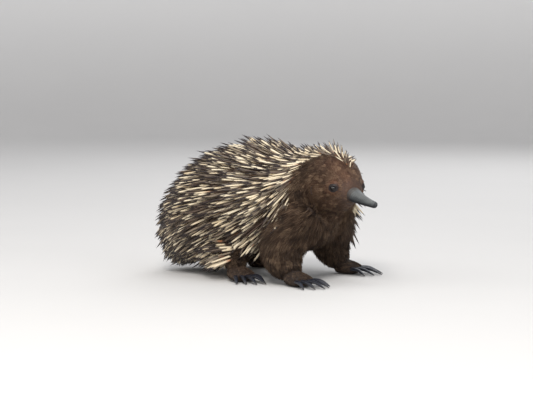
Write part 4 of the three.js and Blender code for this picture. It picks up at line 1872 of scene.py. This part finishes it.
@dataclass(frozen=True)
class Coat:
    """The fur, zone by zone, and the bare places that it leaves."""

    trunk: Trunk
    legs: list[Leg]
    eyes: list[Eye]
    skin: Surface
    face: Locks = Locks("face", 17000, SHORT, 0.00042, 0.6, 0.5, 0.006, 0.25)
    chest: Locks = Locks("chest", 8900, LONG, 0.00068, 0.55, 0.6, 0.009, 0.45)
    belly: Locks = Locks("belly", 3500, SHORT, 0.00075, 0.55, 0.6, 0.010, 0.4)
    under: Locks = Locks("undercoat", 6000, LONG, 0.00105, 0.5, 0.5, 0.0, 0.0)
    front_leg: Locks = Locks("leg", 6100, LONG, 0.00062, 0.55, 0.6, 0.008, 0.45)
    hind_leg: Locks = Locks("leg", 4000, LONG, 0.00062, 0.55, 0.6, 0.008, 0.45)
    foot: Locks = Locks("foot", 2500, SHORT, 0.00042, 0.6, 0.5, 0.005, 0.3)
    muzzle_growth: float = 1.6
    under_shade: float = 0.62
    under_lift: float = 15.0
    under_at: Row = (0, 0.3, 0.6, 1)
    under_length: Row = (0.020, 0.036, 0.028, 0.012)
    sole_edge: Pair = (0.0015, 0.004)
    eye_reach: float = 0.012
    eye_turn: float = 0.9
    eye_trim: float = 0.45
    eye_warmth: float = 0.75
    seed: int = 100
    grow_seed: int = 150

    def scattered(self, density: Array, count: int, seed: int) -> Roots:
        """Roots spread over the skin.

        Args:
            density: How thickly they stand at each point of the skin, on any scale.
            count: How many.
            seed: The seed of the random draws.

        Returns:
            The roots.
        """
        random = np.random.default_rng(seed)
        skin, own = self.skin, self.skin.values
        a, b, c = (skin.points[skin.triangles[:, k]] for k in range(3))
        area = np.linalg.norm(np.cross(b - a, c - a), axis=1) / 2
        total = np.cumsum(area * density[skin.triangles].mean(axis=1))
        spots = (np.arange(count) + random.uniform(0, 1, count)) / count * total[-1]
        chosen = skin.triangles[np.minimum(np.searchsorted(total, spots), len(area) - 1)]
        first, second = random.uniform(0, 1, (2, count))
        over = first + second > 1
        first[over], second[over] = 1 - first[over], 1 - second[over]
        shares = np.column_stack([1 - first - second, first, second])

        def carried(value: Array) -> Array:
            """A value of the skin at the roots."""
            weights = shares if value.ndim == 1 else shares[..., None]
            return (value[chosen] * weights).sum(axis=1)

        part, place = own["part"][chosen[:, 0]], own["place"][chosen[:, 0]]
        place = np.where((own["part"][chosen] == part[:, None]).all(axis=1), carried(own["place"]), place)
        normals = unit(carried(skin.normals))
        flow = carried(own["flow"])
        flow = unit(flow - normals * dot(flow, normals)[:, None])
        points = carried(skin.points)
        angle = self.trunk.angle_of(points, place)
        for leg in self.legs:
            for form, is_foot in ((leg.limb(), False), (leg.foot(), True)):
                mine = part == leg.number(is_foot)
                angle[mine] = form.angle_of(points[mine], place[mine])
        looks = (carried(own[key]) for key in ("length", "lift", "warm", "shade"))
        return Roots(points, normals, flow, *looks, part, place, angle)

    def round_eyes(self, roots: Roots) -> Roots:
        """Clears the eyes, and lays the fur near them on the mound of the lids.

        Args:
            roots: Roots on the head.

        Returns:
            The roots that are left.
        """
        keep = np.ones(len(roots.points), bool)
        for eye in self.eyes:
            past, turn, height = eye.seen(roots.points)
            near = (past < self.eye_reach) & (np.abs(height) < self.eye_reach)
            keep &= ~(near & (past < eye.bare_reach))
            roots.points[near] = eye.settled(roots.points[near], past[near], turn[near])
            out = unit(roots.points - eye.centre - eye.axis * height[:, None])
            share = (near * (1 - eased(0.002, 0.009, past)))[:, None]
            roots.flow = unit(roots.flow + out * share * self.eye_turn)
            roots.length = roots.length * (1 - self.eye_trim * share[:, 0])
            warmth = self.eye_warmth * (near * (1 - eased(0.003, 0.011, past)))
            roots.warm = np.clip(roots.warm + warmth, 0, 1)
        return roots.only(keep)

    def zones(self) -> list[tuple[Locks, str, Array]]:
        """The zones of the coat.

        Returns:
            For each its locks, the end of its piece's name, and how thickly it grows at each point.
        """
        along, part, place = self.trunk.along, self.skin.values["part"], self.skin.values["place"]
        on_trunk = part == Part.TRUNK.value
        angle = self.trunk.angle_of(self.skin.points, place)
        limit, _, _ = self.trunk.spiny(place)
        head = on_trunk & (place >= along("neck_front", 0.6))
        spiny = on_trunk & ~head & (np.abs(angle) < limit * 0.98)
        front = on_trunk & ~head & ~spiny & (place >= along("back", 0.4))
        belly = on_trunk & ~head & ~spiny & ~front
        face = head * (1 + self.muzzle_growth * eased(along("head_middle"), along("muzzle"), place))
        found = [(locks, side.label, weight * ((angle >= 0) == (side is Side.LEFT)))
                 for locks, weight in ((self.face, face), (self.chest, front), (self.belly, belly),
                                       (self.under, spiny))
                 for side in Side]
        raised = eased(*self.sole_edge, self.skin.points[:, 2])
        for leg in self.legs:
            upper = self.front_leg if leg.name.startswith("front") else self.hind_leg
            found += [(locks, leg.name, (part == leg.number(is_foot)) * raised)
                      for locks, is_foot in ((upper, False), (self.foot, True))]
        return found

    def build(self) -> None:
        """Grows the fur of every zone."""
        for number, (locks, name, weight) in enumerate(self.zones(), 1):
            roots = self.scattered(weight.astype(float), locks.count, self.seed + number)
            if locks is self.face:
                roots = self.round_eyes(roots)
            if locks is self.under:
                length = np.interp(roots.place, self.under_at, self.under_length)
                shade, lift = np.full_like(length, self.under_shade), np.full_like(length, self.under_lift)
                roots = replace(roots, length=length, shade=shade, lift=lift)
            shape = locks.grow(roots, self.grow_seed + number)
            shape.dressed(f"fur_{locks.name}_{name}", FurFinish(), "fur")


# The beak, ears and claws


@dataclass(frozen=True)
class Beak:
    """The bare beak: round and tapered, ringed with low wrinkles, and a little upturned at its tip.

    A share runs along it from 0 at the face to 1 at its tip, and an angle round it from its top.
    """

    trunk: Trunk
    length: float = 0.063
    droop: float = -14.0
    root_reach: float = 0.0124
    tip_reach: float = 0.0054
    taper: float = 1.7
    upturn: float = 0.005
    sink: float = -0.2
    tip_from: float = 0.9
    tip_share: float = 0.1
    tip_round: float = 2.6
    flatness: Pair = (0.93, 0.97)
    wrinkle_gap: Pair = (0.0034, 0.0012)
    wrinkle: float = 0.00052
    wrinkle_edge: float = 0.85
    uneven: float = 0.00018
    nostril_at: float = 0.915
    nostril_turn: float = 0.43
    nostril_size: Pair = (0.017, 0.17)
    rim_size: Pair = (0.030, 0.33)
    nostril_depth: float = 0.0016
    rim_height: float = 0.00025
    lip_turn: float = 1.98
    lip_width: float = 0.075
    lip_from: Pair = (0.74, 0.83)
    lip_depth: float = 0.00055
    thinnest: float = 0.0001
    rows: int = 190
    tip_rows: int = 40
    sides: int = 72

    def middle(self, share: Array) -> Array:
        """The beak's middle line.

        Args:
            share: Shares of its length.

        Returns:
            The points there.
        """
        ahead = heading(self.trunk.stations[-1].turn[1], self.droop)
        line = self.trunk.centre(np.ones_like(share)) + ahead * (share * self.length)[:, None]
        return line + UP * (self.upturn * share * (share - 0.4))[:, None]

    def features(self, s: Array, a: Array) -> tuple[Array, Array, Array, Array]:
        """The wrinkles, nostrils and mouth.

        Args:
            s: Shares of the length.
            a: Angles from the top.

        Returns:
            How much a place belongs to a wrinkle's ridge, a nostril, a nostril's rim and the mouth's line.
        """
        wobble = 0.0007 * np.sin(a * 3 + 1.0) + 0.0005 * np.sin(a * 5 + s * 9)
        gap = self.wrinkle_gap[0] + self.wrinkle_gap[1] * np.clip(1 - s, 0, 1)
        fold = np.abs(np.sin((s * self.length + wobble) / gap * math.pi)) ** self.wrinkle_edge
        nostril, rim = 0, 0
        for turn in (self.nostril_turn, -self.nostril_turn):
            ahead, aside = s - self.nostril_at, (a - turn + math.pi) % TURN - math.pi
            long, wide = self.nostril_size
            nostril = nostril + np.exp(-((ahead / long) ** 2) - ((aside / wide) ** 2))
            round_it = np.hypot(ahead / self.rim_size[0], aside / self.rim_size[1])
            rim = rim + np.exp(-(((round_it - 1) / 0.28) ** 2))
        side_angle = np.abs((a + math.pi) % TURN - math.pi)
        lips = np.exp(-(((side_angle - self.lip_turn) / self.lip_width) ** 2)) * eased(*self.lip_from, s)
        return fold, nostril, rim, lips

    def build(self) -> None:
        """Builds the beak with its nostrils and mouth."""
        tip = self.tip_from + self.tip_share * np.sin(np.linspace(0.06, 1.555, self.tip_rows))
        share = np.concatenate([np.linspace(self.sink, self.tip_from, self.rows), tip])
        growth = np.clip(1 - share, 0, None) ** self.taper
        reach = np.minimum(self.tip_reach + (self.root_reach - self.tip_reach) * growth, self.root_reach)
        closing = np.clip((share - self.tip_from) / self.tip_share, 0, 1)
        reach = reach * np.sqrt(np.clip(1 - closing**self.tip_round, 0.0, 1))
        line = self.middle(share)
        _, left, upward = framed(unit(np.gradient(line, axis=0)))
        s, a = np.meshgrid(share, circle(self.sides), indexing="ij")
        top = np.cos(a)
        fold, nostril, rim, lips = self.features(s, a)
        relief = (fold - 0.5) * (self.wrinkle * np.clip(1.15 - s, 0.2, 1) * eased(-0.6, 0.5, top))
        relief = relief + self.uneven * np.sin(a * 2 + s * 23) * np.sin(s * 31 + 2)
        relief = relief - self.nostril_depth * nostril + self.rim_height * rim - self.lip_depth * lips
        size = reach[:, None] + relief * np.sqrt(np.clip(1 - closing, 0.02, 1))[:, None]
        size = np.maximum(size, self.thinnest)
        flat = np.where(top < 0, *self.flatness)
        rings = rings_round(line, left, upward, np.sin(a) * size, top * size * flat)
        # Painted shade in the valleys between the wrinkles, mostly on the top.
        between = (1 - fold) * eased(-0.6, 0.4, top) * np.clip(1.25 - s, 0, 1)
        # ridge: a painted highlight on the wrinkles' ridges, strongest on the top.
        marks = {"ridge": np.clip(fold * (0.25 + 0.75 * eased(-0.2, 0.9, top)), 0, 1),
                 # under: painted shade on the underside.
                 "under": 1 - eased(-0.75, 0.35, top),
                 # Painted shade in the nostrils, along the mouth's line and in the wrinkles' valleys, and
                 # the tip's own dark colour.
                 "crease": np.clip(nostril * 1.1 + lips * 0.95 + between + 0.75 * eased(0.93, 1.0, s), 0, 1),
                 "rooted": 1 - eased(0.0, 0.26, s)}
        shape = lofted(rings)
        shape.values = {name: np.append(value.ravel(), [0.0, 0.0]) for name, value in marks.items()}
        shape.turned_out().dressed("beak_bare", BeakFinish(), "beak_skin", ["beak"])


@dataclass(frozen=True)
class Ears:
    """The ears: an upright slit behind each eye, in a low fold of skin."""

    trunk: Trunk
    share: float = 0.35
    angle: float = 96.0
    height: float = 0.0062
    wide: float = 0.0024
    fold: float = 0.0011
    sunk: float = 0.0012
    rise: Pair = (0.0008, 0.0016)
    cup_depth: float = 0.0022
    cup_lip: float = 0.0006
    cup_wall: float = 0.0012
    plug: Pair = (0.0001, 0.0010)
    sides: int = 48
    fold_sides: int = 14
    cup_rows: int = 8
    warm: float = 0.3
    shade: float = 0.4

    def ear(self, side: Side) -> Shape:
        """One ear: the fold round it, the cup in it, and the cup's end.

        Args:
            side: Which ear.

        Returns:
            The ear.
        """
        t = self.trunk.along("head_back", self.share)
        point, normal, tailward, _ = self.trunk.surface(t, math.radians(self.angle) * side.value)
        base = point - normal * (float(self.trunk.coat_depth(np.array([t]))[0]) + self.sunk)
        upward = unit(UP - normal * dot(UP, normal))
        back = unit(tailward - upward * dot(tailward, upward))
        turn, around = circle(self.sides), circle(self.fold_sides)
        ahead, above = np.cos(turn)[:, None] * back, np.sin(turn)[:, None] * upward
        out = ahead * self.wide + above * self.height
        outward = unit(ahead * self.height + above * self.wide)
        rear = eased(-0.6, 0.8, np.cos(turn))
        rise = self.rise[0] + self.rise[1] * rear
        thick = self.fold * (0.8 + 0.4 * rear)
        lifted = rise[:, None] + np.sin(around) * thick[:, None] * 1.3
        rings = base + out[:, None] + normal * lifted[..., None]
        rings = rings + outward[:, None] * (np.cos(around) * thick[:, None] * 0.8)[..., None]
        depth = np.linspace(0, 1, self.cup_rows)
        sunk = self.cup_lip - self.cup_depth * np.sin(depth * math.pi / 2)
        cup = base + out[None] * (1.02 - 0.9 * depth[:, None, None] ** 1.5) + normal * sunk[:, None, None]
        both = np.concatenate([cup, cup[::-1] - normal * self.cup_wall])
        end = np.stack([cup[-1] + normal * self.plug[0], cup[-1] - normal * self.plug[1]])
        # Painted shade: the fold's side that faces the slit is darkened, and the cup and its end are nearly
        # black.
        inner = np.tile(np.clip(-np.cos(around), 0, 1) * 0.8, self.sides)
        parts = ((wrapped(rings), 0.25, inner), (wrapped(both.transpose(1, 0, 2)), 1.0, 0.9),
                 (lofted(end), 1.0, 1.0))
        for shape, bare, crease in parts:
            looks = {"bare": bare, "crease": crease, "warm": self.warm, "shade": self.shade}
            shape.values = {name: np.broadcast_to(look, len(shape.points)) for name, look in looks.items()}
        return Shape.joined([shape.turned_out() for shape, _, _ in parts])

    def build(self) -> None:
        """Builds both ears."""
        for side in Side:
            self.ear(side).dressed(f"ear_fold_{side.label}", LidFinish(), "fur", [f"ear_{side.label}"])


@dataclass(frozen=True)
class Claws:
    """The claws: over and down from each toe, wide and blunt like a spade, and hollowed beneath.

    A stop is how far ahead of the toe it is, and the share of the claw's length that comes on top; its
    height, and the share of the toe's height that it stands on; and the reach to the side and up.
    """

    legs: list[Leg]
    rise: float = 0.0085
    stops: tuple[Row, ...] = (
        (-0.001, 0, -0.0008, 1, 0.0026, 0.0021), (0.003, 0, 0, 1, 0.0031, 0.0026),
        (0.008, 0, 0.0012, 1, 0.0035, 0.0028), (0.008, 0.4, 0.0003, 1, 0.0032, 0.0025),
        (0.008, 0.75, 0, 0.6, 0.0023, 0.0017), (0.008, 1, 0.0013, 0, 0.0008, 0.0006))
    tip_at: Row = (0.965, 0.985, 0.996, 1.0)
    tip_size: Row = (0.97, 0.86, 0.58, 0.25)
    groove: float = 0.55
    groove_width: float = 0.5
    ridge: float = 0.035
    ridges: int = 7
    squareness: float = 0.85
    rows: int = 30
    sides: int = 20

    def claw(self, toe: Toe) -> Shape:
        """One claw.

        Args:
            toe: The toe that it grows from.

        Returns:
            The claw, whose points carry how far along they are, and how much painted blue sheen and
            streaking they have.
        """
        forward = heading(toe.turn)
        at = [[*(toe.root + forward * (start + toe.length * share))[:2], self.rise * stand + more]
              for start, share, more, stand, _, _ in self.stops]
        limb = Limb(np.array(at), np.array(self.stops)[:, 4:], UP)
        t = np.concatenate([np.linspace(0, 0.94, self.rows), self.tip_at])
        _, side, upward = limb.axes(t)
        size = smooth(limb.reach, t)
        size[-len(self.tip_size):] *= np.array(self.tip_size)[:, None]
        angle = circle(self.sides)
        groove = np.exp(-(((angle - 1.5 * math.pi) / self.groove_width) ** 2))
        ridges = self.ridge * np.cos(angle * self.ridges) * np.clip(np.sin(angle), 0, 1)
        wide = np.sign(np.cos(angle)) * np.abs(np.cos(angle)) ** self.squareness
        high = np.sin(angle) * (1 - self.groove * groove) + ridges
        rings = rings_round(limb.line(t), side, upward, wide * size[:, :1], high * size[:, 1:])
        rings[..., 2] = np.maximum(rings[..., 2], FLOOR_ROOM)
        shape = lofted(rings)
        # Painted sheen: the streaks follow the ridges, so their crests come out bluest.
        streak = 0.5 + 0.35 * np.cos(angle * self.ridges) + 0.3 * np.cos(angle * 3 + 1)
        shape.values = {"along": np.append(np.repeat(t, self.sides), [0.0, 1.0]),
                        "streak": np.append(np.tile(streak, len(t)), [0.5, 0.5])}
        return shape.turned_out()

    def build(self) -> None:
        """Builds every claw as a piece of its own."""
        for leg in self.legs:
            for number, toe in enumerate(leg.toes(), 1):
                name = f"{leg.name}_{number}"
                self.claw(toe).dressed(f"horn_{name}", HornFinish(), "claw_horn", [f"claw_{name}"])


# The studio


@dataclass(frozen=True)
class Lamp:
    """A soft square light: its place, its width, its power in watts, and its colour."""

    name: str
    at: Triple
    size: float
    power: float
    colour: Triple


@dataclass(frozen=True)
class Studio:
    """A pale floor that curves up into its backdrop, soft lights, and the camera."""

    target: Triple = (0.0, 0.0, 0.110)
    azimuth: float = 33.0
    elevation: float = 5.0
    distance: float = 3.0
    lens: float = 128.7
    sensor: float = 36.0
    shift_x: float = -0.0178
    shift_y: float = 0.0113
    clip: Pair = (0.05, 50.0)
    floor_reach: float = 4.2
    floor_rows: int = 12
    wall_curve: float = 1.4
    wall_rows: int = 16
    wall_height: float = 3.6
    sides: int = 96
    sky: Triple = (0.92, 0.94, 1.0)
    sky_strength: float = 0.66
    lamps: tuple[Lamp, ...] = (
        Lamp("key", (0.9, -2.1, 2.2), 0.9, 66.0, (1.0, 0.97, 0.93)),
        Lamp("fill", (2.6, -0.4, 1.2), 1.8, 14.0, (0.95, 0.97, 1.0)),
        Lamp("left", (-2.2, -1.6, 1.5), 1.6, 14.0, (1.0, 0.98, 0.96)),
        Lamp("back", (-0.6, 2.6, 1.9), 1.8, 24.0, (0.97, 0.98, 1.0)),
        Lamp("catch", (1.15, -2.0, 0.95), 0.16, 3.0, (1.0, 1.0, 1.0)),
        Lamp("top", (0.0, 0.0, 3.0), 2.2, 18.0, (1.0, 1.0, 1.0)))

    def floor(self) -> None:
        """Builds the floor with its backdrop all round."""
        arc = np.linspace(0, math.pi / 2, self.wall_rows)[1:]
        far = self.floor_reach + self.wall_curve
        radii = np.concatenate([np.linspace(0.02, self.floor_reach, self.floor_rows),
                                self.floor_reach + self.wall_curve * np.sin(arc), [far]])
        heights = np.concatenate([np.zeros(self.floor_rows), self.wall_curve * (1 - np.cos(arc)),
                                  [self.wall_height]])
        turn = circle(self.sides)
        rings = np.stack([radii[:, None] * np.cos(turn), radii[:, None] * np.sin(turn),
                          heights[:, None] + 0 * turn], axis=-1)
        shape = lofted(rings, closed_ends=False)
        middle = len(shape.points)
        shape.points = np.vstack([shape.points, [[0, 0, 0]]])
        here = np.arange(self.sides)
        shape.faces.append(np.stack([(here + 1) % self.sides, here, np.full(self.sides, middle)], axis=-1))
        floor_ = bpy.data.objects.new("studio_floor", shape.mesh("studio_floor"))
        bpy.context.scene.collection.objects.link(floor_)
        floor_.data.materials.append(FloorFinish().material())

    def hang(self, lamp: Lamp) -> None:
        """Hangs a lamp that faces the animal.

        Args:
            lamp: The lamp.
        """
        light = bpy.data.lights.new(lamp.name, "AREA")
        light.size = lamp.size
        light.energy = lamp.power
        light.color = lamp.colour
        piece = bpy.data.objects.new(lamp.name, light)
        bpy.context.scene.collection.objects.link(piece)
        piece.location = lamp.at
        piece.rotation_euler = (Vector(self.target) - Vector(lamp.at)).to_track_quat("-Z", "Y").to_euler()
        piece.visible_camera = False

    def camera(self) -> None:
        """Sets up the camera at the picture's viewing angle."""
        away = Vector(heading(self.azimuth - 90, self.elevation))
        lens = bpy.data.cameras.new("camera")
        lens.lens = self.lens
        lens.sensor_width = self.sensor
        lens.shift_x = self.shift_x
        lens.shift_y = self.shift_y
        lens.clip_start, lens.clip_end = self.clip
        camera = bpy.data.objects.new("camera", lens)
        bpy.context.scene.collection.objects.link(camera)
        camera.location = Vector(self.target) + away * self.distance
        camera.rotation_euler = (-away).to_track_quat("-Z", "Y").to_euler()
        bpy.context.scene.camera = camera

    def build(self) -> None:
        """Builds the studio."""
        self.floor()
        for lamp in self.lamps:
            self.hang(lamp)
        world = bpy.data.worlds.new("studio")
        bpy.context.scene.world = world
        world.use_nodes = True
        sky = world.node_tree.nodes["Background"].inputs
        sky["Color"].default_value = (*self.sky, 1.0)
        sky["Strength"].default_value = self.sky_strength
        self.camera()
        bpy.context.scene.view_settings.view_transform = "Standard"
        log.info("studio: floor, %d lamps and camera", len(self.lamps))


def frame_shift() -> Triple:
    """Where the sizes' own origin lies in the frame, read from where the eyes are.

    Returns:
        The shift along the three axes.
    """
    found = []
    for eye in Eyes(Trunk()).made():
        low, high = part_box(f"eye_{eye.side.label}")
        found.append((np.array(low) + np.array(high)) / 2 - eye.centre)
    shift = np.mean(found, axis=0)
    return float(shift[0]), float(shift[1]), 0.0


def main() -> None:
    """Builds the animal and the studio, in order."""
    logging.basicConfig(level=logging.INFO, format="%(message)s")
    shift = frame_shift()
    log.info("frame shift %.5f %.5f", shift[0], shift[1])
    trunk = replace(Trunk(), shift=shift)
    legs = legs_at(shift)
    eyes = Eyes(trunk)
    skin = Skin(trunk, legs, eyes.made()).build()
    Spines(trunk, skin).build()
    Coat(trunk, legs, eyes.made(), skin).build()
    eyes.build()
    Beak(trunk).build()
    Ears(trunk).build()
    Claws(legs).build()
    Studio().build()


if __name__ == "__main__":
    main()
